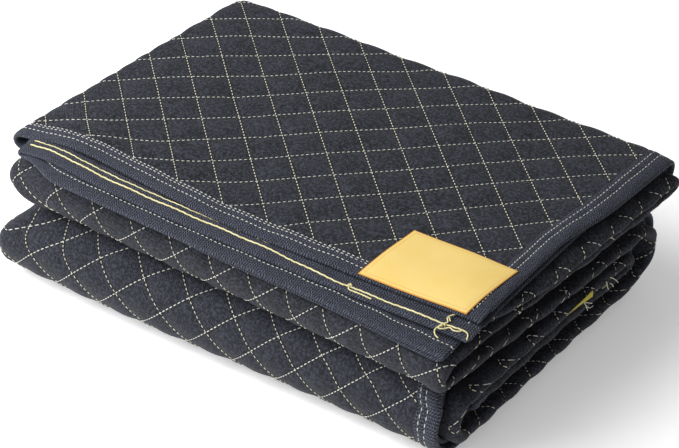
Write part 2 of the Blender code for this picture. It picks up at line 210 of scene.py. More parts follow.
# Its loose ends: s, t, lift and how far each point hangs down, and its knots: s, t and lift
CHAIN_ENDS = (
    ((1922.0, 4.5, -2.9, 0.0), (1928.0, 4.4, -3.4, 0.0), (1932.0, 3.0, -4.0, 0.5),
     (1933.5, -1.5, -3.0, 1.0)),
    ((1911.0, 4.2, -3.2, 0.0), (1908.0, 0.0, -4.0, 0.0), (1906.5, -4.5, -3.5, 0.5),
     (1909.5, -8.0, -2.5, 1.0), (1913.0, -8.8, -2.0, 1.5)),
    ((1909.5, 1.5, -3.0, 0.0), (1908.0, -3.5, -4.5, 0.0), (1912.5, -1.5, -3.5, 0.0),
     (1916.0, 2.4, -4.0, 0.0), (1919.5, 0.8, -3.2, 0.0), (1924.0, 1.5, -3.4, 0.0),
     (1926.0, 4.2, -3.0, 0.0)),
    ((1909.5, 4.2, -3.0, 0.0), (1912.5, 6.0, -4.0, 0.0), (1908.5, 9.5, -4.5, 0.0),
     (1910.5, 13.0, -5.0, 0.0), (1914.0, 15.5, -5.5, 0.0)),
    ((1910.0, 10.5, -4.5, 0.0), (1913.0, 8.0, -3.6, 0.0)),
    ((1822.0, 7.5, -3.4, 0.0), (1823.0, 4.5, -4.0, 0.0), (1824.0, 1.0, -3.2, 0.0),
     (1833.0, 1.8, -3.0, 0.0), (1846.0, 0.8, -3.2, 0.0)))
CHAIN_END_RADIUS = 0.6
CHAIN_KNOTS = ((1910.5, 1.6, -3.6), (1823.0, 4.9, -3.4))
KNOT_RADIUS = 0.85
KNOT_ACROSS, KNOT_ALONG, KNOT_TURN, KNOT_CLIMB = 1.3, 1.5, 4.4, 0.15

# A yellow tag's end and frayed threads between the folds at the right, in the same columns
TAG_START, TAG_END, TAG_AT, TAG_WIDTH, TAG_LIFT = 1521.0, 1561.0, 982.3, 2.0, 4.2
TAG_HALF_THICKNESS = 0.3
FRAYED_ENDS = (
    ((981.8, 1548.0, 4.5, 0.0), (981.8, 1553.0, 5.0, 3.5), (981.8, 1559.0, 5.5, 8.0)),
    ((981.8, 1548.0, 4.5, 0.0), (981.8, 1551.0, 5.0, 6.0), (981.8, 1556.0, 5.5, 11.5),
     (981.8, 1561.0, 5.5, 12.0)),
    ((981.8, 1551.0, 5.0, 6.0), (981.8, 1554.0, 5.0, 12.5)),
    ((981.8, 1579.0, 4.5, -3.0), (981.8, 1581.0, 5.0, 3.0), (981.8, 1583.3, 5.0, 8.5)),
    ((981.8, 1584.7, 4.5, -4.0), (981.8, 1591.8, 5.0, 2.0), (981.8, 1597.0, 5.5, 9.0)),
    ((981.8, 1584.2, 5.0, 2.3), (981.8, 1588.0, 5.0, 5.0), (981.8, 1591.0, 5.0, 10.0)),
    ((981.8, 1573.8, 4.5, 1.3), (981.8, 1578.0, 5.0, 1.0), (981.8, 1581.8, 4.5, 0.0)))
FRAYED_RADIUS = 0.4

# The woven label
LABEL_LENGTH = 105.0
LABEL_WIDTH = 79.0
LABEL_THICKNESS = 0.9
LABEL_IN_FROM_FRONT = 0.8
LABEL_IN_FROM_SIDE = 15.0
LABEL_SHEAR = -6.0
LABEL_RAISE = 0.45
LABEL_RIPPLE = 0.25
LABEL_EDGE_DIP, LABEL_EDGE_WIDTH = 0.5, 2.5
LABEL_SEAM_DIP, LABEL_SEAM_IN, LABEL_SEAM_WIDTH = 0.25, 4.0, 0.8

# Looks: the widths of the weaves' ribs, and v in the middle of each rounded fold
RIB_WIDTH, WEFT_WIDTH, HERRINGBONE, LABEL_RIB_WIDTH = 2.6, 2.3, 6.0, 0.9
UPPER_FOLD_ROW, LOWER_FOLD_ROW = 11.6, 27.3

# The camera: the photograph's place and turn, in degrees
CAMERA_PLACE = np.array([1037.7, -1112.4, 1076.7])
CAMERA_AZIMUTH = 34.486
CAMERA_ELEVATION = 36.014
CAMERA_ROLL = 1.437
CAMERA_LENS = 101.585
CAMERA_SENSOR = 36.0

# The lamps: name, place and size in metres, and power in watts; the room's and the floor's light
LAMPS = (("key", (-1.1, -0.9, 1.5), 1.7, 64.0), ("front", (-0.3, -1.9, 0.9), 1.2, 12.0))
LAMPS_AIM = (0.0, 0.0, 0.07)
ROOM_LIGHT, FLOOR_LIGHT = 0.28, 0.3
FLOOR_HALF = 6.0


# The folded sheet

def run(name, column):
    """A value of one run, read by the name of its column."""
    return RUNS[name][RUN_COLUMNS.index(column)]


def smooth_step(value):
    """0 below 0, 1 above 1, and a smooth rise between."""
    value = np.clip(value, 0.0, 1.0)
    return value * value * (3.0 - 2.0 * value)


def ramp(value, start, end):
    """0 before start, 1 after end, and a straight rise between."""
    return np.clip((value - start) / (end - start), 0.0, 1.0)


def lengths(first, second):
    """The distance along a line of points, from its first one."""
    return np.r_[0.0, np.cumsum(np.hypot(np.diff(first), np.diff(second)))]


def section_table():
    """The four layers in the bundle's end view: straight lines joined by half circles.

    Rows: s, x, height, the normal's two parts, how far the near end stands out, and the shares
    of the tucks at the left and the right. Also returned is the s at which each part ends.
    """
    fold_x = OUTER_FOLD_RADIUS + CLOTH_HALF
    right_x = BUNDLE_LENGTH - INNER_FOLD_RADIUS - CLOTH_HALF
    high, low = 1.5 * LAYER_PITCH, 0.5 * LAYER_PITCH
    parts = []

    def straight(start, end, height, side, name):
        x = np.linspace(start, end, 120)
        parts.append((name, x, np.full(120, height), np.zeros(120), np.full(120, side)))

    def turn(centre, middle, radius, first, last, side, name):
        angle = np.radians(np.linspace(first, last, 25))
        c, s = np.cos(angle), np.sin(angle)
        parts.append((name, centre + radius * c, middle + radius * s, side * c, side * s))

    straight(BUNDLE_LENGTH - TOP_EDGE_IN, fold_x, high, 1.0, "top")
    turn(fold_x, 0.0, OUTER_FOLD_RADIUS, 90, 270, 1.0, "outer fold")
    straight(fold_x, right_x, -high, -1.0, "lowest")
    turn(right_x, -LAYER_PITCH, INNER_FOLD_RADIUS, -90, 90, 1.0, "side fold")
    straight(right_x, fold_x, -low, 1.0, "third")
    turn(fold_x, 0.0, INNER_FOLD_RADIUS, 270, 90, -1.0, "inner fold")
    straight(fold_x, BUNDLE_LENGTH - SECOND_EDGE_IN, low, -1.0, "second")

    x, height, nx, nh = (np.concatenate([part[k] for part in parts]) for k in range(1, 5))
    layer = np.concatenate([np.full(len(part[1]), part[0], object) for part in parts])
    s = lengths(x, height)
    ends = {part[0]: s[np.flatnonzero(layer == part[0])[-1]] for part in parts}
    out = near_end_out(x, height, layer)
    inner = np.isin(layer, ("second", "third", "inner fold"))
    tucked = smooth_step((FOLD_TUCK_WIDTH - x) / FOLD_TUCK_WIDTH) * np.where(inner, 1.0, -1.0)
    tucked = np.where(layer == "lowest", 0.0, tucked)
    side = np.isin(layer, ("lowest", "side fold", "third"))
    side = side * smooth_step((x - SIDE_TUCK_FROM) / (BUNDLE_LENGTH - SIDE_TUCK_FROM))
    table = np.stack([s, x, height, nx, nh, out, tucked, side])
    return beyond_ends(table, 1, -1.0, 1.0), ends


def near_end_out(x, height, layer):
    """How far each place of the section stands out at the near end, smooth over the folds."""
    outer_side = smooth_step((x - NEAR_END_FROM) / NEAR_END_EASE)
    third_side = smooth_step((x - THIRD_END_FROM) / THIRD_END_EASE)
    inner_side = smooth_step((x - INNER_END_FROM) / INNER_END_EASE)
    inner, outer = INNER_FOLD_OUT, NEAR_END_OUT["outer fold"]
    out = np.zeros(len(x))
    for name in ("top", "lowest", "third", "second", "outer fold"):
        is_inner = name in ("second", "third")
        corner, fold_side = (inner, inner_side) if is_inner else (outer, outer_side)
        fold_side = third_side if name == "third" else fold_side
        value = corner + (NEAR_END_OUT[name] - corner) * fold_side
        out = np.where(layer == name, value, out)
    share = (height + 1.5 * LAYER_PITCH) / LAYER_PITCH
    side = NEAR_END_OUT["lowest"] * (1 - share) + NEAR_END_OUT["third"] * share
    out = np.where(layer == "side fold", side, out)
    return np.where(layer == "inner fold", inner, out)


def beyond_ends(table, moving, first_way, last_way):
    """The table with 20 mm more at each end, straight on: first_way is the row's way there."""
    first, last = table[:, :1].copy(), table[:, -1:].copy()
    first[0] -= 20.0
    last[0] += 20.0
    first[moving] -= 20.0 * first_way
    last[moving] += 20.0 * last_way
    return np.concatenate([first, table, last], axis=1)


def path_table():
    """The bundle's mid line through its six runs: straight lines joined by half circles.

    Rows: t, y, z, the normal's two parts, the thickness factor, how far the right and left ends
    draw in, and how far the path has turned since its last straight run.
    """
    rows, ends = [], {}
    names = list(RUNS)
    for number, name in enumerate(names):
        start, end, height = run(name, "start"), run(name, "end"), run(name, "height")
        ahead = 1.0 if end > start else -1.0
        rest = run(name, "thick") / BUNDLE_THICKNESS, run(name, "right_in"), run(name, "left_in")
        turned_before = rows[-1][-1] if rows else 0.0
        for part in np.linspace(0.0, 1.0, 60):
            y = start + (end - start) * part
            rows.append((y, height, 0.0, ahead, *rest, turned_before * (1.0 - part)))
        ends[name] = len(rows) - 1
        if name == names[-1]:
            break
        after = names[number + 1]
        thick_after = run(after, "thick") / BUNDLE_THICKNESS
        next_rest = thick_after, run(after, "right_in"), run(after, "left_in")
        middle = (height + run(after, "height")) / 2
        radius = abs(height - run(after, "height")) / 2
        down = 1.0 if run(after, "height") < height else -1.0
        for part in np.linspace(0.0, 1.0, 49):
            angle = math.pi * part
            out, up = math.sin(angle), math.cos(angle) * down
            share = [a + (b - a) * part for a, b in zip(rest, next_rest)]
            facing = ahead * down
            rows.append((end + ahead * radius * out, middle + radius * up,
                         facing * ahead * out, facing * up, *share, facing * angle))
        ends[name + " turn"] = len(rows) - 1
    table = np.array(rows).T
    t = lengths(table[0], table[1])
    ends = {name: t[index] for name, index in ends.items()}
    return beyond_ends(np.concatenate([t[None], table]), 1, 1.0, -1.0), ends


SECTION, LAYER_END = section_table()
PATH, RUN_END = path_table()
ACROSS, ALONG = LAYER_END["second"], RUN_END["inside"]


def look_up(table, value):
    """All rows of a table after its first, at the given values of the first."""
    return [np.interp(value, table[0], row) for row in table[1:]]


def settle(x, y, z):
    """The uneven set of the whole stack, and the roll of its bound edges at the right."""
    raised = np.clip(z / STACK_HEIGHT, 0.0, 1.0)
    front, rear = ramp(y, FRONT_FROM, FRONT_FULL), ramp(y, REAR_FROM, REAR_FULL)
    corner = ramp(x, FRONT_RIGHT_FROM, BUNDLE_LENGTH) ** (1.0 + raised)
    rear_out = REAR_OUT_LEFT + (REAR_OUT_RIGHT - REAR_OUT_LEFT) * ramp(x, 0.0, BUNDLE_LENGTH) ** 2
    side = ramp(x, RIGHT_SIDE_FROM, BUNDLE_LENGTH) * (1.0 - raised**4)
    side_in = side * (SIDE_IN_MIDDLE + SIDE_IN_REAR * rear + SIDE_IN_FRONT * front)
    left = ramp(x, LEFT_SIDE_TO, 0.0) * raised
    lip = smooth_step((LIP_FROM - y) / LIP_REACH) * smooth_step((z - LIP_FOOT) / LIP_RISE)
    sunk_left = smooth_step((LEFT_SINK_TO - x) / LEFT_SINK_REACH) * raised**2
    rolled = ramp(x, HEM_ROLL_FROM, HEM_ROLL_TO) ** 2 * raised**2
    heights, back_shares, ins = zip(*CORNER)
    corner = corner * np.interp(z, heights, back_shares)
    corner_in = np.interp(z, heights, ins) * ramp(x, CORNER_IN_FROM, BUNDLE_LENGTH) * front
    rear_sink = REAR_RIGHT_SINK * ramp(x, REAR_RIGHT_FROM, BUNDLE_LENGTH) * rear
    sink = HEM_ROLL * rolled + rear_sink * smooth_step(raised * REAR_SINK_GROWTH)
    low = front * (1.0 - smooth_step((z - LOWER_TOP) / LOWER_EASE))
    low_left, low_front = low * ramp(x, LEFT_SIDE_TO, 0.0), low * ramp(x, LOWER_FRONT_TO, 0.0)
    low_back = low * smooth_step(ramp(x, LOWER_BACK_FROM, LOWER_BACK_TO))
    rear_end = ramp(x, REAR_OUT_FROM, BUNDLE_LENGTH) * rear
    rear_x = REAR_RIGHT_OUT * rear_end * raised**6 - REAR_FOOT_IN * rear_end * (1.0 - raised)
    notch = np.exp(-((z - NOTCH_HEIGHT) / NOTCH_RISE) ** 2) * smooth_step(1.0 - x / NOTCH_WIDTH)
    x = x - RIGHT_SIDE_IN * side_in + left * (LEFT_REAR_IN * rear - LEFT_FRONT_OUT * front)
    notch = notch * (NOTCH_REAR_SHARE + (1.0 - NOTCH_REAR_SHARE) * front)
    x = x + NOTCH_IN * notch - corner_in - LOWER_LEFT_OUT * low_left + rear_x
    y = y + FRONT_RIGHT_BACK * corner * front + rear_out * rear
    y = y - LOWER_FRONT_OUT * low_front + LOWER_BACK * low_back
    z = z - LIP_SINK * lip - (LEFT_SINK + CORNER_SINK * front) * sunk_left - sink
    return x, y, z


def lay(s, t, lift):
    """Points of the folded sheet, lift above its mid line on the face side, as (..., 3)."""
    s, t, lift = np.broadcast_arrays(s, t, lift)
    across, height, nx, nh, out, tucked, side = look_up(SECTION, s)
    y, z, ny, nz, thick, right_in, left_in, _ = look_up(PATH, t)
    across = across + lift * nx
    offset = (height + lift * nh) * thick
    share = across / BUNDLE_LENGTH
    x = across - right_in * share + left_in * (1.0 - share)
    near = 1.0 - smooth_step(t / NEAR_END_REACH)
    near_fold = 1.0 - smooth_step(t / FOLD_TUCK_REACH)
    x = x + FOLD_TUCK * tucked * near_fold - top_side_in(s, t)
    side = side * (1.0 - smooth_step(t / SIDE_TUCK_REACH))
    x = x - SIDE_TUCK * side
    drop = FOLD_DROP * np.minimum(tucked, 0.0) * near_fold - SIDE_DROP * side
    return np.stack(settle(x, y + offset * ny - out * near, z + offset * nz + drop), axis=-1)


def top_side_in(s, t):
    """How far the top's side edge draws in at a place."""
    along = 1.0 - smooth_step((t - TOP_SIDE_FROM) / TOP_SIDE_EASE)
    return TOP_SIDE_IN * along * (1.0 - smooth_step(s / TOP_SIDE_WIDTH))


# The quilting's pattern

def pattern(s, t):
    """The quilting's own coordinates u and v: its seams lie where u + v or u - v is whole.

    On the top they follow the photograph's diamonds, also where the stack has slid. Round a
    fold, v grows with the length of that layer's own arc.
    """
    x = BUNDLE_LENGTH - TOP_EDGE_IN - s
    y = run("top", "start") + t
    slide_x, slide_y = slides(s, t)
    height = np.interp(s, SECTION[0], SECTION[2])
    arc = height * np.interp(t, PATH[0], PATH[5] * PATH[8])
    first = ramp(t, *UPPER_PATTERN) * ramp(s, LAYER_END["top"], LAYER_END["outer fold"])
    second = ramp(t, *LOWER_PATTERN)
    u = (x + slide_x - PATTERN_START_X) / DIAMOND_X
    v = (y + slide_y + arc) / DIAMOND_Y
    upper_u = (x - UPPER_FOLD_START) / UPPER_FOLD_DIAMOND
    upper_v = UPPER_FOLD_RISE + UPPER_FOLD_CLIMB * x
    first = first * (1.0 - second)
    u = u + (upper_u - u) * first + LOWER_FOLD_SHIFT[0] * second
    return u, v + upper_v * first + LOWER_FOLD_SHIFT[1] * second


def drift(x, t):
    """How far back the shallow seams have drifted, in diamonds, most at the left and right."""
    late = RIGHT_DRIFT_LATE * (1.0 - ramp(t, *LATE_ALONG)) * ramp(x, *LATE_ACROSS)
    near_front = 1.0 - smooth_step((t - FRONT_DRIFT_FULL) / FRONT_DRIFT_EASE)
    front = FRONT_DRIFT * near_front * ramp(x, *FRONT_DRIFT_ACROSS)
    return np.interp(x - late, *zip(*DRIFT)) + front + REAR_DRIFT * ramp(t, *REAR_DRIFT_ALONG)


def slides(s, t):
    """How far the stack's upper part has slid at a place, along x and along y."""
    x = BUNDLE_LENGTH - TOP_EDGE_IN - s
    y = run("top", "start") + t
    near_x = np.clip(x, 0.0, BUNDLE_LENGTH)
    near_y = np.clip(y, FRONT_RIM, run("top", "end"))
    front, rear = ramp(near_y, FRONT_FROM, FRONT_FULL), ramp(near_y, REAR_FROM, REAR_FULL)
    corner = ramp(near_x, FRONT_RIGHT_FROM, BUNDLE_LENGTH) ** 2
    rear_out = REAR_OUT_LEFT + (REAR_OUT_RIGHT - REAR_OUT_LEFT) * (near_x / BUNDLE_LENGTH) ** 2
    left = ramp(near_x, LEFT_SIDE_TO, 0.0)
    upper = 1.0 - ramp(t, *UPPER_PATTERN)
    slide_x = upper * left * (LEFT_REAR_IN * rear - LEFT_FRONT_OUT * front)
    out = np.interp(s, SECTION[0], SECTION[5]) * (1.0 - smooth_step(t / NEAR_END_REACH))
    slide_y = upper * (FRONT_RIGHT_BACK * corner * front + rear_out * rear) - out
    drifted = upper * drift(x, t) / 2
    return slide_x - top_side_in(s, t) + drifted * DIAMOND_X, slide_y - drifted * DIAMOND_Y


def fitted(s, t):
    """Places of the top moved so that the seams, where they have slid, meet the grid's corners."""
    from_far = np.minimum(LAYER_END["top"] - s, RUN_END["top"] - t)
    from_rim = np.minimum(np.minimum(s, 2.0 * t), from_far)
    share = smooth_step((from_rim - SIDE_TAPE_WIDTH) / FITTED_EASE)
    slide_x, slide_y = slides(s, t)
    return s + share * slide_x, t - share * slide_y


def place_of(u, v, s, t, rounds=GUESS_ROUNDS):
    """s and t of pattern coordinates, found by stepping from a first guess."""
    for _ in range(rounds):
        now_u, now_v = pattern(s, t)
        s = s - STEP_SHARE * (u - now_u) * DIAMOND_X
        t = t + STEP_SHARE * (v - now_v) * DIAMOND_Y
    return s, t


def crown(s, t):
    """1 in the middle of a diamond and 0 on its seams, with a steep rise beside them."""
    u, v = pattern(s, t)
    rise = np.abs(np.sin(math.pi * (u + v)) * np.sin(math.pi * (u - v)))
    return rise ** CROWN_STEEPNESS


def hem_share(s, t):
    """1 out on the cloth and 0 under the tape."""
    from_side, from_end = np.minimum(s, ACROSS - s), np.minimum(t, ALONG - t)
    from_tape = np.minimum(from_side - SIDE_TAPE_WIDTH, from_end - END_TAPE_WIDTH)
    return ramp(from_tape, *HEM_EASE)


def slack(s, t):
    """The soft unevenness of the top layer: long low waves and its diagonal creases."""
    on_top = (1.0 - ramp(t, *SLACK_ALONG)) * (1.0 - ramp(s, *SLACK_ACROSS))
    x, y = BUNDLE_LENGTH - TOP_EDGE_IN - s, t
    waves = LONG_WAVE * wave(x, *LONG_WAVE_ACROSS) * wave(y, *LONG_WAVE_ALONG)
    waves = waves + SHORT_WAVE * wave(x, SHORT_WAVE_ACROSS, y / SHORT_WAVE_ALONG)
    for start, end, depth, width in TOP_CREASES:
        waves = waves - depth * np.exp(-(from_line(x, y, start, end) / width) ** 2)
    return on_top * waves


def wave(value, length, start):
    """A wave by the length of one radian of it and where it starts."""
    return np.sin(value / length + start)


def from_line(x, y, start, end):
    """The distance of places from the straight line between two others."""
    ahead_x, ahead_y = end[0] - start[0], end[1] - start[1]
    share = ((x - start[0]) * ahead_x + (y - start[1]) * ahead_y) / (ahead_x**2 + ahead_y**2)
    share = np.clip(share, 0.0, 1.0)
    return np.hypot(x - start[0] - share * ahead_x, y - start[1] - share * ahead_y)


def face_lift(s, t):
    """How high the face lies over the mid line: seams sunk, crowns raised, thin under tape."""
    puffed = CLOTH_HALF - SEAM_SINK + (SEAM_SINK + CROWN_RISE) * crown(s, t)
    share = hem_share(s, t)
    return HEM_HALF + (puffed - HEM_HALF) * share + slack(s, t)


def back_lift(s, t):
    """How low the back lies under the mid line, with a shallower quilting."""
    puffed = CLOTH_HALF - BACK_SEAM_SINK * (1.0 - crown(s, t))
    share = hem_share(s, t)
    return -(HEM_HALF + (puffed - HEM_HALF) * share) + slack(s, t)


# Meshes

def new_piece(name, points, face_groups, uv, materials, face_slots=None, smooth_angle=50.0):
    """A mesh object from points in millimetres, groups of faces of one size, and a uv a point.

    Faces are turned outwards: they are reversed where the volume inside them is negative. What
    would sink into the floor is pressed flat on it.
    """
    points = np.maximum(points, (-np.inf, -np.inf, PART_ORIGIN[2]))
    first = points[np.concatenate([group[:, 0] for group in face_groups])]
    second = points[np.concatenate([group[:, 1] for group in face_groups])]
    third = points[np.concatenate([group[:, 2] for group in face_groups])]
    volume = np.einsum("ij,ij->", first, np.cross(second, third))
    for group in face_groups:
        if group.shape[1] == 4:
            corner = [points[group[:, k]] for k in (0, 2, 3)]
            volume += np.einsum("ij,ij->", corner[0], np.cross(corner[1], corner[2]))
    if volume < 0:
        face_groups = [group[:, ::-1] for group in face_groups]
    sizes = np.concatenate([np.full(len(group), group.shape[1]) for group in face_groups])
    corners = np.concatenate([group.ravel() for group in face_groups]).astype(np.int32)
    mesh = bpy.data.meshes.new(name)
    mesh.vertices.add(len(points))
    mesh.loops.add(len(corners))
    mesh.polygons.add(len(sizes))
    mesh.vertices.foreach_set("co", ((points - PART_ORIGIN) * MM).astype(np.float32).ravel())
    mesh.loops.foreach_set("vertex_index", corners)
    mesh.polygons.foreach_set("loop_start", np.r_[0, np.cumsum(sizes)[:-1]].astype(np.int32))
    if face_slots is not None:
        mesh.polygons.foreach_set("material_index", face_slots.astype(np.int32))
    layer = mesh.uv_layers.new(name="cloth")
    layer.data.foreach_set("uv", uv[corners].astype(np.float32).ravel())
    mesh.update(calc_edges=True)
    mesh.validate()
    mesh.shade_smooth()
    mesh.set_sharp_from_angle(angle=math.radians(smooth_angle))
    obj = bpy.data.objects.new(name, mesh)
    bpy.context.scene.collection.objects.link(obj)
    for material in materials:
        mesh.materials.append(material)
    return obj


def between(grid):
    """Quads between the neighbouring rows and columns of a grid of point numbers."""
    return np.stack([grid[:-1, :-1], grid[:-1, 1:], grid[1:, 1:], grid[1:, :-1]], -1).reshape(-1, 4)


def spread(base, extra):
    """Stations of base together with those of extra that don't crowd them."""
    gap = np.abs(extra[:, None] - base[None]).min(axis=1)
    return np.sort(np.r_[base, extra[gap > 1.4]])


def joined_rows(fine, fine_at, coarse, coarse_at):
    """Triangles between a row of many points and a row whose places are among theirs."""
    owner = np.clip(np.searchsorted(coarse_at, fine_at[:-1] + 0.01) - 1, 0, len(coarse) - 2)
    fans = np.stack([fine[:-1], fine[1:], coarse[owner]], -1)
    meets = fine[np.searchsorted(fine_at, coarse_at[1:] - 0.01)]
    return np.concatenate([fans, np.stack([meets, coarse[1:], coarse[:-1]], -1)])


def cloth_bands():
    """The sheet's stations, band by band: each has its rows t and its columns s.

    Columns are close together only where the band's own layers show; all bands share the
    columns near the folds and edges.
    """
    top_end, fold_end = LAYER_END["top"], LAYER_END["outer fold"]
    low_end, side_end = LAYER_END["lowest"], LAYER_END["side fold"]
    third_end, inner_end = LAYER_END["third"], LAYER_END["inner fold"]
    shared = np.r_[
        HEM_INSET, np.arange(5.0, 30.0, 6.0), np.arange(36.0, 60.0, 8.0), 200.0, 330.0,
        np.arange(top_end - 42.0, top_end, 7.0), np.linspace(top_end, fold_end, 11),
        np.arange(fold_end + 7.0, fold_end + 43.0, 7.0), 620.0, 800.0,
        np.arange(low_end - 42.0, low_end - 1.0, 6.0), np.linspace(low_end, side_end, 7),
        np.arange(side_end + 8.0, side_end + 40.0, 8.0), 1150.0, 1320.0,
        np.linspace(third_end - 20.0, third_end, 3), np.linspace(third_end, inner_end, 6)[1:],
        inner_end + 10.0, 1600.0, 1750.0, np.arange(ACROSS - 50.0, ACROSS - 2.0, 8.0),
        ACROSS - HEM_INSET]
    top_fine = np.arange(4.0, top_end, 4.0)
    low_fine = np.arange(fold_end + 6.0, low_end, 6.0)
    inner_some = np.r_[np.arange(side_end + 14.0, third_end, 14.0),
                       np.arange(inner_end + 14.0, ACROSS, 14.0)]
    every = DIAMOND_Y / 12.0
    hem_rows = np.r_[HEM_INSET, 4.0, 7.0, 10.0, 13.0, 16.0, 19.0, 22.0, 25.0, 28.0]
    plan = [
        (np.r_[hem_rows, np.arange(-run("top", "start") - 21 * every, RUN_END["top"] - 2.0, every),
               np.linspace(RUN_END["top"], RUN_END["top turn"], 13)],
         spread(spread(shared, top_fine), np.r_[low_fine[::2], inner_some])),
        (even_rows(RUN_END["top turn"], RUN_END["second"], HIDDEN_STEP), shared),
        (np.linspace(RUN_END["second"] - 4.0, RUN_END["second turn"] + 4.0, 20),
         spread(shared, low_fine)),
        (even_rows(RUN_END["second turn"] + 4.0, RUN_END["third"], HIDDEN_STEP), shared),
        (np.linspace(RUN_END["third"], RUN_END["third turn"], 25),
         spread(shared, top_fine[::2])),
        (even_rows(RUN_END["third turn"], RUN_END["floor"], HIDDEN_STEP), shared),
        (np.linspace(RUN_END["floor"] - 4.0, RUN_END["floor turn"] + 4.0, 34),
         spread(shared, top_fine)),
        (np.r_[even_rows(RUN_END["floor turn"] + 4.0, RUN_END["fifth"], HIDDEN_STEP),
               np.linspace(RUN_END["fifth"], RUN_END["fifth turn"], 9),
               even_rows(RUN_END["fifth turn"], ALONG - 28.0, INSIDE_STEP),
               ALONG - np.r_[26.0, 22.0, 12.0, HEM_INSET]], shared),
    ]
    return plan


def even_rows(start, end, step):
    """Rows between two places, without the places themselves, about step apart."""
    return np.linspace(start, end, max(3, int(round((end - start) / step)) + 1))[1:-1]


def make_cloth(materials):
    """The whole sheet: its face and its back over every band's grid, joined at the rims."""
    groups, faces_s, faces_t = [], [], []
    numbers, start = [], 0
    for rows, columns in cloth_bands():
        grid = start + np.arange(len(rows) * len(columns)).reshape(len(rows), len(columns))
        start += grid.size
        tt, ss = np.meshgrid(rows, columns, indexing="ij")
        faces_s.append(ss.ravel())
        faces_t.append(tt.ravel())
        numbers.append((grid, columns))
        groups.append(between(grid))
    joins = []
    for (above, above_at), (below, below_at) in zip(numbers[:-1], numbers[1:]):
        if len(above_at) >= len(below_at):
            joins.append(joined_rows(above[-1], above_at, below[0], below_at))
        else:
            joins.append(joined_rows(below[0], below_at, above[-1], above_at)[:, ::-1])
    s, t = fitted(np.concatenate(faces_s), np.concatenate(faces_t))
    points = np.concatenate([lay(s, t, face_lift(s, t)), lay(s, t, back_lift(s, t))])
    quads, joins = along_seams(np.concatenate(groups), crown(s, t)), np.concatenate(joins)
    left = np.concatenate([grid[:, 0] for grid, _ in numbers])
    right = np.concatenate([grid[:, -1] for grid, _ in numbers])
    rims = [numbers[0][0][0], right, numbers[-1][0][-1][::-1], left[::-1]]
    walls = np.concatenate([np.stack([rim[:-1], rim[:-1] + start, rim[1:] + start, rim[1:]], -1)
                            for rim in rims])
    u, v = pattern(s, t)
    uv = np.stack([np.r_[u, u], np.r_[v, v]], -1)
    triangles = np.concatenate([quads, quads[:, ::-1] + start, joins, joins[:, ::-1] + start])
    return new_piece("pad_cloth", points, [walls, triangles], uv, materials)


def along_seams(quads, raised):
    """Each quad cut into two triangles along the diagonal that lies lower, as a seam does."""
    lower = raised[quads[:, 0]] + raised[quads[:, 2]] <= raised[quads[:, 1]] + raised[quads[:, 3]]
    quads = np.where(lower[:, None], quads, np.roll(quads, 1, axis=1))
    return np.concatenate([quads[:, [0, 1, 2]], quads[:, [0, 2, 3]]])


def tape_profile():
    """A tape's own section: a U of even thickness round the cloth's rim.

    Each point has its distance in from the rim and its height. The outer side swells a little
    between its stitch rows and rolls round the rim in a half circle.
    """
    inset = np.array([23.2, 22.6, 21.6, 20.6, 19.2, 17.5, 15.5,
                      13.5, 12.3, 11.0, 9.0, 7.0, 5.0, 3.4])
    swell = np.array([-0.7, -0.25, -0.1, -0.45, 0.1, 0.35, 0.35,
                      0.0, -0.35, 0.1, 0.45, 0.55, 0.45, 0.2])
    upper = TAPE_HALF + swell
    angle = np.radians(np.linspace(75, -75, 7))
    rim_radius = TAPE_HALF + RIM_ROLL
    rim = np.stack([rim_radius * (1.0 - np.cos(angle)), rim_radius * np.sin(angle)], -1)
    outer = np.concatenate([np.stack([inset, upper], -1), rim, np.stack([inset, -upper], -1)[::-1]])
    inner_in = np.array(TAPE_INNER_IN)
    height = np.full(len(inner_in), HEM_HALF + TAPE_GAP)
    inner = [np.stack([inner_in, -height], -1), np.stack([inner_in, height], -1)[::-1]]
    return np.concatenate([outer, *inner])


def tape_swell(inset, s, t):
    """How much the tape swells between the quilting's seams, and dips where they meet it."""
    return TAPE_SWELL * (crown(s, t) - TAPE_LEVEL) * ramp(inset, *TAPE_SWELL_EASE)


def tape_lift(inset, height, s, t):
    """The tape's height at a place of its section: only its outer side swells."""
    outside = np.abs(height) > TAPE_OUTSIDE_FROM
    swell = np.sign(height) * tape_swell(inset, s, t)
    return np.where(outside, height + swell, height) + slack(s, t)


def make_end_tape(name, at_start, materials):
    """The tape over one end of the sheet, folded with its layers."""
    s = end_stations()
    profile = tape_profile() * (END_TAPE_WIDTH / SIDE_TAPE_WIDTH, 1.0)
    inset, height = profile[None, :, 0], profile[None, :, 1]
    ss, inset, height = np.broadcast_arrays(s[:, None], inset, height)
    scallop = 1.0 + SCALLOP * np.sin(ss / END_WAVE)
    t = inset * scallop if at_start else ALONG - inset * scallop
    points = lay(ss, t, tape_lift(inset, height, ss, t))
    return sweep(name, points, np.stack([ss, inset], -1), materials)


def make_side_tape(name, at_top, materials):
    """The tape over one side edge of the sheet, from end to end."""
    t = np.concatenate([rows for rows, _ in cloth_bands()])
    t = t[(t > 2.0) & (t < ALONG - 2.0)]
    t = np.r_[END_TAPE_WIDTH - 1.0, t[(t > END_TAPE_WIDTH) & (t < ALONG - END_TAPE_WIDTH)]]
    profile = tape_profile()
    tt, inset, height = np.broadcast_arrays(t[:, None], profile[None, :, 0], profile[None, :, 1])
    scallop = 1.0 + SCALLOP * np.sin(tt / SIDE_WAVE)
    s = inset * scallop if at_top else ACROSS - inset * scallop
    points = lay(s, tt, tape_lift(inset, height, s, tt))
    return sweep(name, points, np.stack([tt, inset], -1), materials)


def end_stations():
    """The places across the sheet at which an end tape's section is set."""
    columns = cloth_bands()[0][1]
    extra = np.arange(LAYER_END["lowest"], ACROSS, 7.0)
    return spread(columns[(columns > 1.0) & (columns < ACROSS - 1.0)], extra)


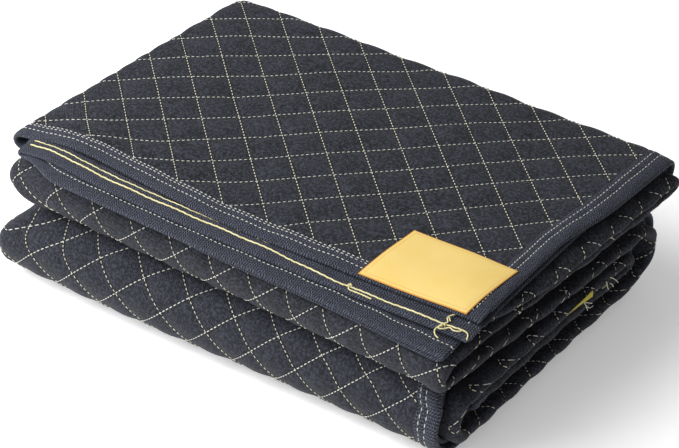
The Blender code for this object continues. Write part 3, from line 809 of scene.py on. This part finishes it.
def sweep(name, points, uv, materials):
    """A closed mesh through a row of closed sections, capped at both ends."""
    count, around = points.shape[:2]
    number = np.arange(count * around).reshape(count, around)
    closed = np.concatenate([number, number[:, :1]], axis=1)
    caps = np.concatenate([cap_of(number[0]), cap_of(number[-1])[:, ::-1]])
    return new_piece(name, points.reshape(-1, 3), [between(closed), caps], uv.reshape(-1, 2), materials)


def cap_of(ring):
    """Triangles over a U-shaped section, from each outer point to the nearest inner one."""
    outer, inner = ring[:-TAPE_INNER_POINTS], ring[-TAPE_INNER_POINTS:][::-1]
    share = np.round(np.linspace(0, TAPE_INNER_POINTS - 1, len(outer))).astype(int)
    fans = np.stack([outer[:-1], outer[1:], inner[share[:-1]]], -1)
    step = np.flatnonzero(np.diff(share))
    fills = np.stack([outer[step + 1], inner[share[step] + 1], inner[share[step]]], -1)
    return np.concatenate([fans, fills])[:, ::-1]


# Stitches

def stitch_shape():
    """One stitch: two rings of four points and two ends, (length, width, height) shares."""
    ring = np.array([(0.0, 1.0, 0.0), (0.0, 0.0, 1.0), (0.0, -1.0, 0.0), (0.0, 0.0, -1.0)])
    near, far = ring + (-0.55, 0.0, 0.0), ring + (0.55, 0.0, 0.0)
    points = np.concatenate([[(-1.0, 0.0, -0.5)], near, far, [(1.0, 0.0, -0.5)]])
    turn = np.array([1, 2, 3, 4])
    after = np.roll(turn, -1)
    zero, nine = np.zeros(4, int), np.full(4, 9)
    faces = np.concatenate([np.stack([zero, after, turn], -1), np.stack([turn, after, turn + 4], -1),
                            np.stack([after, after + 4, turn + 4], -1),
                            np.stack([nine, turn + 4, after + 4], -1)])
    return points, faces


def make_stitches(name, ends, materials, slots):
    """Many stitches in one mesh: the one shape carried to each pair of ends.

    ends holds for each stitch its two end points and a point above its middle.
    """
    first, last, above = ends
    middle = (first + last) / 2
    along = last - first
    length = np.linalg.norm(along, axis=1, keepdims=True)
    along = along / length
    up = above - middle
    up = up - along * (up * along).sum(1, keepdims=True)
    up = up / np.linalg.norm(up, axis=1, keepdims=True)
    side = np.cross(up, along)
    shape, faces = stitch_shape()
    points = (middle[:, None] + along[:, None] * shape[None, :, :1] * length[:, None] / 2
              + side[:, None] * shape[None, :, 1:2] * STITCH_WIDTH / 2
              + up[:, None] * shape[None, :, 2:] * STITCH_HEIGHT / 2)
    count = len(middle)
    faces = (faces[None] + 10 * np.arange(count)[:, None, None]).reshape(-1, 3)
    face_slots = np.repeat(slots, 16)
    uv = np.repeat(np.stack([np.arange(count), np.zeros(count)], -1), 10, axis=0)
    return new_piece(name, points.reshape(-1, 3), [faces], uv, materials, face_slots, 180.0)


def seam_shown(s, t):
    """Where a quilting seam lies on a face that can be seen, from some side."""
    top_end, fold_end = LAYER_END["top"], LAYER_END["outer fold"]
    low_end, side_end = LAYER_END["lowest"], LAYER_END["side fold"]
    inside = between_two(t, END_TAPE_WIDTH, ALONG - END_TAPE_WIDTH)
    inside = inside & between_two(s, SIDE_TAPE_WIDTH, ACROSS - SIDE_TAPE_WIDTH)
    on_top = (s < fold_end + 10.0) & (t < RUN_END["top turn"] + 8.0)
    left = (s > top_end - 12.0) & (s < fold_end + 12.0)
    right = (s > low_end - 14.0) & (s < side_end + 4.0)
    upper_fold = between_two(t, RUN_END["second"] - 22.0, RUN_END["second turn"] + 22.0)
    first = (s > top_end) & (s < side_end) & upper_fold
    rear = (s < fold_end) & between_two(t, RUN_END["third"] - 14.0, RUN_END["third turn"] + 8.0)
    second = (s < fold_end) & between_two(t, RUN_END["floor"] - 8.0, RUN_END["floor turn"] + 26.0)
    inner = t < RUN_END["fifth turn"]
    return inside & (on_top | ((left | right) & inner) | first | rear | second)


def between_two(value, low, high):
    """Where a value lies between two others."""
    return (value > low) & (value < high)


def quilting_ends():
    """End points of every quilting stitch that shows, along both families of seams."""
    step_length = math.hypot(DIAMOND_X, DIAMOND_Y) / 2
    firsts, lasts, aboves, slots = [], [], [], []
    s_low, s_high = SIDE_TAPE_WIDTH - 60.0, LAYER_END["side fold"] + 65.0
    for family, filled in enumerate(STITCH_FILL):
        seams = np.arange(FIRST_SEAM, LAST_SEAM).astype(float)
        along = np.arange(FIRST_SEAM, LAST_SEAM, STITCH_PITCH / step_length)
        k, w = (part.ravel() for part in np.meshgrid(seams, along, indexing="ij"))
        sign = 1.0 if family == 0 else -1.0
        u, v = (k + w) / 2, sign * (k - w) / 2
        s_guess = BUNDLE_LENGTH - TOP_EDGE_IN - (u * DIAMOND_X + PATTERN_START_X)
        t_guess = v * DIAMOND_Y - run("top", "start")
        near = between_two(s_guess, s_low, s_high) & between_two(t_guess, -60.0, ALONG)
        u, v, w = u[near], v[near], w[near]
        s, t = place_of(u, v, s_guess[near], t_guess[near])
        keep = seam_shown(s, t)
        u, v, w, s, t = u[keep], v[keep], w[keep], s[keep], t[keep]
        half = filled * STITCH_PITCH / step_length / 2
        ends = []
        for way in (-half, half):
            du, dv = way / 2, -sign * way / 2
            ends.append(place_of(u + du, v + dv, s, t, NEAR_ROUNDS))
        (s1, t1), (s2, t2) = ends
        on_top = (t < RUN_END["top"]) & (s < LAYER_END["top"])
        over = np.where(on_top, TOP_STITCH_RAISE, FOLD_STITCH_RAISE)
        firsts.append(lay(s1, t1, face_lift(s1, t1) + over))
        lasts.append(lay(s2, t2, face_lift(s2, t2) + over))
        aboves.append(lay(s, t, face_lift(s, t) + UP_POINT))
        slots.append(np.full(len(s), family))
    ends = tuple(np.concatenate(points) for points in (firsts, lasts, aboves))
    return ends, np.concatenate(slots)


def binding_ends():
    """End points of the stitches along the tapes, on the sides of them that show."""
    firsts, lasts, aboves = [], [], []

    def row(s1, t1, s2, t2, inset, side):
        level = side * (TAPE_HALF + DASH_RAISE + tape_swell(inset, s1, t1)) + slack(s1, t1)
        firsts.append(lay(s1, t1, level))
        lasts.append(lay(s2, t2, level))
        aboves.append(lay((s1 + s2) / 2, (t1 + t2) / 2, level + UP_POINT * side))

    half = DASH_FILL * STITCH_PITCH / 2
    fold_end, low_end = LAYER_END["outer fold"], LAYER_END["lowest"]
    for inset in END_ROWS:
        s = np.arange(DASH_START, fold_end, STITCH_PITCH)
        row(s - half, 0 * s + inset, s + half, 0 * s + inset, inset, 1.0)
    s = np.arange(low_end + 4.0, LAYER_END["third"], STITCH_PITCH)
    inset = LAYER_THREE_ROW
    row(s - half, 0 * s + inset, s + half, 0 * s + inset, inset, 1.0)
    for inset in SIDE_ROWS:
        t = np.arange(DASH_START, ALONG, STITCH_PITCH)
        row(0 * t + inset, t - half, 0 * t + inset, t + half, inset, 1.0)
    t = np.arange(DASH_START, ALONG, STITCH_PITCH)
    s = 0 * t + ACROSS - SECOND_SIDE_ROW
    row(s, t - half, s, t + half, SECOND_SIDE_ROW, -1.0)
    return np.concatenate(firsts), np.concatenate(lasts), np.concatenate(aboves)


def make_thread_lines(name, lines, materials):
    """Threads as round tubes: a ring of six points carried along each line of points."""
    points, groups, start = [], [], 0
    cap = np.array([(0, 1, 2, 3), (3, 4, 5, 0)])
    angle = np.linspace(0.0, 2 * math.pi, 7)[:-1]
    for line, radius in lines:
        ahead = np.gradient(line, axis=0)
        ahead = ahead / np.linalg.norm(ahead, axis=1, keepdims=True)
        side = np.cross(ahead, np.array([0.0, 0.0, 1.0]) + 0.01)
        side = side / np.linalg.norm(side, axis=1, keepdims=True)
        up = np.cross(side, ahead)
        rings = (line[:, None] + radius * (side[:, None] * np.cos(angle)[None, :, None]
                                           + up[:, None] * np.sin(angle)[None, :, None]))
        number = start + np.arange(rings.shape[0] * 6).reshape(-1, 6)
        closed = np.concatenate([number, number[:, :1]], axis=1)
        groups += [between(closed), number[0][cap], number[-1][cap[:, ::-1]]]
        points.append(rings.reshape(-1, 3))
        start += rings.shape[0] * 6
    points, faces = np.concatenate(points), [np.concatenate(groups)]
    return new_piece(name, points, faces, np.zeros((len(points), 2)), materials, None, 180.0)


def chain_lines():
    """The two solid lines of chain stitch on the second layer's tape, up to where they come loose."""
    lines = []
    for inset, radius, end in CHAIN_ROWS:
        s = np.arange(LAYER_END["inner fold"] + 4.0, end, CHAIN_STEP)
        wobble = CHAIN_WOBBLE * np.sin(s / CHAIN_WOBBLE_LENGTH)
        inset = inset - CHAIN_OUT * smooth_step((s - CHAIN_OUT_FROM) / CHAIN_OUT_REACH)
        level = TAPE_HALF + DASH_RAISE + tape_swell(inset, s, 0 * s + inset)
        lines.append((lay(s, inset + wobble, -level), radius))
    return lines


def hanging_lines(rows_of_lines, radius):
    """Loose threads through rows of s, t, lift and drop, their corners cut three times."""
    lines = []
    for rows in rows_of_lines:
        line = np.array(rows)
        for _ in range(3):
            first, last = line[:-1], line[1:]
            cut = np.stack([0.75 * first + 0.25 * last, 0.25 * first + 0.75 * last], 1)
            line = np.concatenate([line[:1], cut.reshape(-1, 4), line[-1:]])
        place = lay(line[:, 0], line[:, 1], line[:, 2])
        place[:, 2] -= line[:, 3]
        lines.append((place, radius))
    return lines


def knot_lines():
    """The knots of the chain stitch, each a short thick turn of thread."""
    angle = np.linspace(0.0, KNOT_TURN, 9)
    across, along = KNOT_ACROSS * np.cos(angle), KNOT_ALONG * np.sin(angle)
    return [(lay(s + across, t + along, lift - KNOT_CLIMB * angle), KNOT_RADIUS)
            for s, t, lift in CHAIN_KNOTS]


def make_tag_end(materials):
    """The yellow tag's end: a thin strip on the side fold, narrowing to a point."""
    a, b = np.meshgrid(np.linspace(0.0, 1.0, 13), np.linspace(-0.5, 0.5, 4), indexing="ij")
    t = TAG_START + (TAG_END - TAG_START) * a + 2.0 * b * a
    s = TAG_AT + TAG_WIDTH * b * (0.06 + 0.94 * a**1.6)
    upper, lower = lay(s, t, TAG_LIFT + TAG_HALF_THICKNESS), lay(s, t, TAG_LIFT - TAG_HALF_THICKNESS)
    return closed_sheet("yellow_tag_end", upper, lower, np.stack([a, b], -1), materials)


# The label

def make_label(materials):
    """The woven label: a thin sheet over the corner's tape and cloth, its edges turned under."""
    across = np.linspace(0.0, 1.0, 49)
    along = np.linspace(0.0, 1.0, 37)
    a, b = np.meshgrid(across, along, indexing="ij")
    s = LABEL_IN_FROM_SIDE + LABEL_LENGTH * a + LABEL_SHEAR * b
    t = LABEL_IN_FROM_FRONT + LABEL_WIDTH * b
    rim = np.minimum(np.minimum(a, 1 - a) * LABEL_LENGTH, np.minimum(b, 1 - b) * LABEL_WIDTH)
    smooth = CLOTH_HALF + CROWN_RISE + LABEL_RAISE + slack(s, t)
    dip = LABEL_EDGE_DIP * (1.0 - smooth_step(rim / LABEL_EDGE_WIDTH))
    seam = LABEL_SEAM_DIP * np.exp(-((rim - LABEL_SEAM_IN) / LABEL_SEAM_WIDTH) ** 2)
    ripple = LABEL_RIPPLE * np.sin(a * 9.0 + b * 4.0) * np.sin(b * 7.0 + 0.5)
    upper = lay(s, t, smooth + LABEL_THICKNESS - dip - seam + ripple)
    lower = lay(s, t, smooth - dip * 0.3 + ripple)
    uv = np.stack([a * LABEL_LENGTH, b * LABEL_WIDTH], -1)
    return closed_sheet("pad_label", upper, lower, uv, materials)


def closed_sheet(name, upper, lower, uv, materials):
    """A thin closed sheet between two grids of points, with walls round its rim."""
    count = uv.shape[0] * uv.shape[1]
    grid = np.arange(count).reshape(uv.shape[:2])
    quads = between(grid)
    rims = [grid[0], grid[:, -1], grid[-1][::-1], grid[:, 0][::-1]]
    walls = np.concatenate([np.stack([rim[:-1], rim[:-1] + count, rim[1:] + count, rim[1:]], -1)
                            for rim in rims])
    faces = np.concatenate([quads, quads[:, ::-1] + count, walls])
    points = np.concatenate([upper.reshape(-1, 3), lower.reshape(-1, 3)])
    return new_piece(name, points, [faces], np.tile(uv.reshape(-1, 2), (2, 1)), materials)


# Materials

def linear(code):
    """An sRGB hex colour as linear light."""
    parts = [int(code[k:k + 2], 16) / 255 for k in (1, 3, 5)]
    return tuple(p / 12.92 if p <= 0.04045 else ((p + 0.055) / 1.055) ** 2.4 for p in parts) + (1.0,)


def connect(tree, node, inputs):
    """Gives a node its inputs: what comes out of another node is linked, a value is set."""
    for key, value in inputs.items():
        if isinstance(value, bpy.types.NodeSocket):
            tree.links.new(value, node.inputs[key])
        else:
            node.inputs[key].default_value = value


def add(tree, kind, *values, out=0, **settings):
    """Adds a node with its settings and links, and returns one of its outputs.

    Its inputs come in order, or as one dict by their names or numbers.
    """
    node = tree.nodes.new("ShaderNode" + kind)
    for name, value in settings.items():
        setattr(node, name, value)
    in_a_dict = len(values) == 1 and isinstance(values[0], dict)
    connect(tree, node, values[0] if in_a_dict else dict(enumerate(values)))
    return node.outputs[out]


def new_material(name):
    """A material with its tree, shader, the piece's u and v, and the place on the piece."""
    material = bpy.data.materials.new(name)
    material.use_nodes = True
    tree = material.node_tree
    shader = tree.nodes["Principled BSDF"]
    shader.inputs["Metallic"].default_value = 0.0
    u = add(tree, "SeparateXYZ", add(tree, "UVMap", uv_map="cloth"))
    return material, tree, shader, u, u.node.outputs[1], add(tree, "TexCoord", out="Object")


def layered(tree, tone, layers):
    """A tone with colours laid over it one after another, each by its share."""
    for share, colour in layers:
        tone = add(tree, "Mix", {0: share, 6: tone, 7: linear(colour)}, out=2, data_type="RGBA")
    return tone


def fold_share(tree, v, middle, most):
    """How much shows of a rounded fold's painted tint and shade and of its rib:
    most round its middle row, none farther off.
    """
    off = add(tree, "Math", v, middle, operation="SUBTRACT")
    away = add(tree, "Math", off, operation="ABSOLUTE")
    return add(tree, "MapRange", away, 1.0, 2.5, most, 0.0)


def quilted_polyester():
    """Needled and brushed polyester: matt, mottled charcoal with a soft fuzz.

    It gives the eye cloudy patches a few centimetres wide, a speckle of fibres and painted shade
    in the soft creases beside the seams. The upper rounded fold is painted browner and the lower
    one bluer, both darker, as a painted tint and shade for the light on them, and on these two a
    faint slanting rib shows, drawn 2.6 mm wide, coarser than real.
    """
    material, tree, shader, u, v, where = new_material("brushed_quilted_polyester")
    clouds = add(tree, "TexNoise", {"Vector": where, "Scale": 45.0, "Detail": 6.0, "Roughness": 0.65})
    fibres = add(tree, "TexNoise", {"Vector": where, "Scale": 430.0, "Detail": 3.0})
    cloudy = add(tree, "MapRange", clouds, 0.3, 0.7, 0.0, 1.0)
    # Painted tint and shade: the upper rounded fold is coloured browner and the lower one bluer, both
    # darker, for the light that falls on them.
    upper = fold_share(tree, v, UPPER_FOLD_ROW, 0.7)
    lower = fold_share(tree, v, LOWER_FOLD_ROW, 0.6)
    speck = add(tree, "MapRange", fibres, 0.42, 0.68, 0.0, 0.9)
    tone = layered(tree, linear("#050608"), [(cloudy, "#202228"), (upper, "#151310"),
                                             (lower, "#080a11"), (speck, "#3a3c47")])
    plus = add(tree, "Math", u, v, operation="ADD")
    minus = add(tree, "Math", u, v, operation="SUBTRACT")
    to_plus = add(tree, "Math", plus, 0.5, operation="PINGPONG")
    to_minus = add(tree, "Math", minus, 0.5, operation="PINGPONG")
    to_seam = add(tree, "Math", to_plus, to_minus, operation="MINIMUM")
    # Painted shade: the cloth is darkened towards #08090b in the creases beside the seams, where shadow
    # lies.
    seam_shade = add(tree, "MapRange", to_seam, 0.0, 0.08, 0.45, 1.0, interpolation_type="SMOOTHSTEP")
    tone = add(tree, "Mix", {0: seam_shade, 6: linear("#08090b"), 7: tone}, out=2, data_type="RGBA")
    turn_back = add(tree, "Math", upper, 1.35, operation="MULTIPLY")
    turned = add(tree, "Math", 1.0, turn_back, operation="SUBTRACT")
    along = add(tree, "Math", u, DIAMOND_X, operation="MULTIPLY")
    sideways = add(tree, "Math", along, turned, operation="MULTIPLY")
    down = add(tree, "Math", v, DIAMOND_Y, operation="MULTIPLY")
    slant = add(tree, "Math", sideways, down, operation="ADD")
    turns = add(tree, "Math", slant, 2 * math.pi / RIB_WIDTH, operation="MULTIPLY")
    rib = add(tree, "Math", turns, operation="SINE")
    folds = add(tree, "Math", upper, lower, operation="ADD")
    on_folds = add(tree, "Math", folds, 0.4, operation="MULTIPLY")
    rib_up = add(tree, "Math", rib, 1.0, operation="ADD")
    ribbed = add(tree, "Math", rib_up, on_folds, operation="MULTIPLY")
    tone = layered(tree, tone, [(ribbed, "#2d2f37")])
    fuzz = add(tree, "Math", fibres, 0.7, operation="MULTIPLY")
    ribs = add(tree, "Math", rib, 0.1, operation="MULTIPLY")
    mottle = add(tree, "Math", clouds, 2.0, operation="MULTIPLY")
    soft = add(tree, "Math", ribs, mottle, operation="ADD")
    height = add(tree, "Math", fuzz, soft, operation="ADD")
    bump = add(tree, "Bump", {"Strength": 0.7, "Distance": 0.001, "Height": height})
    connect(tree, shader, {"Base Color": tone, "Normal": bump, "Roughness": 0.9, "Sheen Weight": 0.05,
                           "Specular IOR Level": 0.25, "Sheen Roughness": 0.5})
    return material


def twill_tape():
    """Woven polyester twill tape: grey-blue with a lighter speckle where the ribs cross.

    It gives the eye slanting ribs that turn back every 6 mm, as herringbone does. The ribs are
    drawn 2.6 mm wide, coarser than real, so that they show.
    """
    material, tree, shader, along, across, where = new_material("herringbone_twill_tape")
    back_and_forth = add(tree, "Math", along, HERRINGBONE, operation="PINGPONG")
    slant = add(tree, "Math", across, back_and_forth, operation="ADD")
    rib_turns = add(tree, "Math", slant, 2 * math.pi / RIB_WIDTH, operation="MULTIPLY")
    rib = add(tree, "Math", rib_turns, operation="SINE")
    weft_turns = add(tree, "Math", along, 2 * math.pi / WEFT_WIDTH, operation="MULTIPLY")
    weft = add(tree, "Math", weft_turns, operation="SINE")
    grain = add(tree, "TexNoise", {"Vector": where, "Scale": 420.0, "Detail": 3.0})
    patches = add(tree, "TexNoise", {"Vector": where, "Scale": 40.0, "Detail": 3.0})
    low_weft = add(tree, "Math", weft, 0.9, operation="MULTIPLY")
    weave = add(tree, "Math", rib, low_weft, operation="ADD")
    lift = add(tree, "MapRange", weave, -0.9, 1.3, 0.0, 1.0)
    speck = add(tree, "MapRange", grain, 0.42, 0.62, 0.0, 0.5)
    worn = add(tree, "Math", patches, 0.35, operation="MULTIPLY")
    tone = layered(tree, linear("#0a0b0f"), [(lift, "#54586a"), (speck, "#101116"), (worn, "#0e0f13")])
    fuzz = add(tree, "Math", grain, 0.4, operation="MULTIPLY")
    height = add(tree, "Math", lift, fuzz, operation="ADD")
    bump = add(tree, "Bump", {"Strength": 0.6, "Distance": 0.0005, "Height": height})
    connect(tree, shader, {"Base Color": tone, "Normal": bump, "Roughness": 0.85,
                           "Specular IOR Level": 0.3, "Sheen Weight": 0.04})
    return material


def thread(name, light, dark):
    """Spun polyester thread: matt, pale, a little uneven in tone along its length."""
    material, tree, shader, _, _, where = new_material(name)
    uneven = add(tree, "TexNoise", {"Vector": where, "Scale": 260.0, "Detail": 2.0})
    tone = layered(tree, linear(light), [(uneven, dark)])
    connect(tree, shader, {"Base Color": tone, "Roughness": 0.75})
    return material


def woven_label():
    """Damask-woven polyester label: smooth pale yellow with a warmer turned edge.

    It gives the eye a fine horizontal rib, a slightly satin face and an orange-yellow border
    where the edge is turned under.
    """
    material, tree, shader, along, across, where = new_material("damask_woven_label")
    far_end = add(tree, "Math", LABEL_LENGTH, along, operation="SUBTRACT")
    far_side = add(tree, "Math", LABEL_WIDTH, across, operation="SUBTRACT")
    from_ends = add(tree, "Math", along, far_end, operation="MINIMUM")
    from_sides = add(tree, "Math", across, far_side, operation="MINIMUM")
    from_edge = add(tree, "Math", from_ends, from_sides, operation="MINIMUM")
    edge = add(tree, "MapRange", from_edge, 0.3, 1.6, 1.0, 0.0, interpolation_type="SMOOTHSTEP")
    clouds = add(tree, "TexNoise", {"Vector": where, "Scale": 40.0, "Detail": 4.0})
    grain = add(tree, "TexNoise", {"Vector": where, "Scale": 700.0, "Detail": 2.0})
    speck = add(tree, "Math", grain, 0.25, operation="MULTIPLY")
    off_seam = add(tree, "Math", from_edge, 3.6, operation="SUBTRACT")
    from_seam = add(tree, "Math", off_seam, operation="ABSOLUTE")
    sewn = add(tree, "MapRange", from_seam, 0.2, 0.9, 0.4, 0.0)
    tone = layered(tree, linear("#debc5f"), [(clouds, "#e3ca82"), (speck, "#cdab53"),
                                             (edge, "#c4862a"), (sewn, "#c79c40")])
    rib_turns = add(tree, "Math", across, 2 * math.pi / LABEL_RIB_WIDTH, operation="MULTIPLY")
    rib = add(tree, "Math", rib_turns, operation="SINE")
    low_rib = add(tree, "Math", rib, 0.25, operation="MULTIPLY")
    height = add(tree, "Math", low_rib, grain, operation="ADD")
    bump = add(tree, "Bump", {"Strength": 0.3, "Distance": 0.0003, "Height": height})
    connect(tree, shader, {"Base Color": tone, "Normal": bump, "Roughness": 0.6, "Sheen Weight": 0.1})
    return material


# Room

def make_floor():
    """A plain pale floor, far wider than the pad. Its own faint light keeps shadows pale."""
    mesh = bpy.data.meshes.new("floor")
    far = FLOOR_HALF
    corners = [(-far, -far, 0), (far, -far, 0), (far, far, 0), (-far, far, 0)]
    mesh.from_pydata(corners, [], [(0, 1, 2, 3)])
    floor = bpy.data.objects.new("floor", mesh)
    bpy.context.scene.collection.objects.link(floor)
    material = bpy.data.materials.new("pale_floor")
    material.use_nodes = True
    shader = material.node_tree.nodes["Principled BSDF"]
    shader.inputs["Base Color"].default_value = linear("#f8f8f8")
    shader.inputs["Emission Color"].default_value = (1.0, 1.0, 1.0, 1.0)
    shader.inputs["Emission Strength"].default_value = FLOOR_LIGHT
    shader.inputs["Roughness"].default_value = 0.9
    mesh.materials.append(material)


def make_lights():
    """Soft studio light: a large lamp at the upper left, a weaker one in front, a pale room."""
    for name, place, size, power in LAMPS:
        light = bpy.data.lights.new(name, "AREA")
        light.size = size
        light.energy = power
        lamp = bpy.data.objects.new(name, light)
        lamp.location = place
        ahead = Vector(LAMPS_AIM) - Vector(place)
        lamp.rotation_euler = ahead.to_track_quat("-Z", "Y").to_euler()
        bpy.context.scene.collection.objects.link(lamp)
    world = bpy.data.worlds.new("pale_room")
    world.use_nodes = True
    background = world.node_tree.nodes["Background"]
    background.inputs[0].default_value = (1.0, 1.0, 1.0, 1.0)
    background.inputs[1].default_value = ROOM_LIGHT
    bpy.context.scene.world = world
    bpy.context.scene.view_settings.view_transform = "Standard"


def make_camera():
    """The photograph's camera, placed by its azimuth, elevation and roll."""
    camera = bpy.data.cameras.new("camera")
    camera.lens = CAMERA_LENS
    camera.sensor_width = CAMERA_SENSOR
    obj = bpy.data.objects.new("camera", camera)
    azimuth, elevation = math.radians(CAMERA_AZIMUTH), math.radians(CAMERA_ELEVATION)
    turn = (Matrix.Rotation(azimuth, 4, "Z") @ Matrix.Rotation(math.pi / 2 - elevation, 4, "X")
            @ Matrix.Rotation(math.radians(CAMERA_ROLL), 4, "Z"))
    place = Matrix.Translation(Vector((CAMERA_PLACE - PART_ORIGIN) * MM))
    obj.matrix_world = place @ turn
    bpy.context.scene.collection.objects.link(obj)
    bpy.context.scene.camera = obj


def main():
    """Builds the room and every piece, hides the model's parts that they replace,
    and hangs each piece on one body.
    """
    make_camera()
    make_lights()
    make_floor()
    polyester, twill, label_weave = quilted_polyester(), twill_tape(), woven_label()
    white_thread = thread("white_spun_thread", "#dddcd4", "#a3a29a")
    cream_thread = thread("cream_spun_thread", "#e2dec9", "#b3ae97")
    yellow_thread = thread("yellow_chain_thread", "#e9e3b6", "#b5a766")

    cloth = make_cloth([polyester])
    tapes = {
        "near_end_tape": make_end_tape("near_end_binding", True, [twill]),
        "far_end_tape": make_end_tape("far_end_binding", False, [twill]),
        "top_side_tape": make_side_tape("top_side_binding", True, [twill]),
        "second_side_tape": make_side_tape("second_side_binding", False, [twill]),
    }
    label = make_label([label_weave])
    ends, slots = quilting_ends()
    quilting = make_stitches("quilting_stitches", ends, [cream_thread, white_thread], slots)
    dashes = binding_ends()
    binding = make_stitches("binding_stitches", dashes, [white_thread], np.zeros(len(dashes[0])))
    chain = chain_lines() + knot_lines() + hanging_lines(CHAIN_ENDS, CHAIN_END_RADIUS)
    chains = make_thread_lines("chain_stitch_lines", chain, [yellow_thread])
    frayed_lines = hanging_lines(FRAYED_ENDS, FRAYED_RADIUS)
    frayed = make_thread_lines("frayed_threads", frayed_lines, [cream_thread])
    tag = make_tag_end([thread("yellow_woven_tag", "#cfc24a", "#a59a38")])

    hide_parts("quilted_cloth")
    for node, tape in tapes.items():
        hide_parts(node)
    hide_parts("woven_label")
    extras = [*tapes.values(), label, quilting, binding, chains, frayed, tag]
    for piece in (cloth, *extras):
        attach(piece, "root")


main()
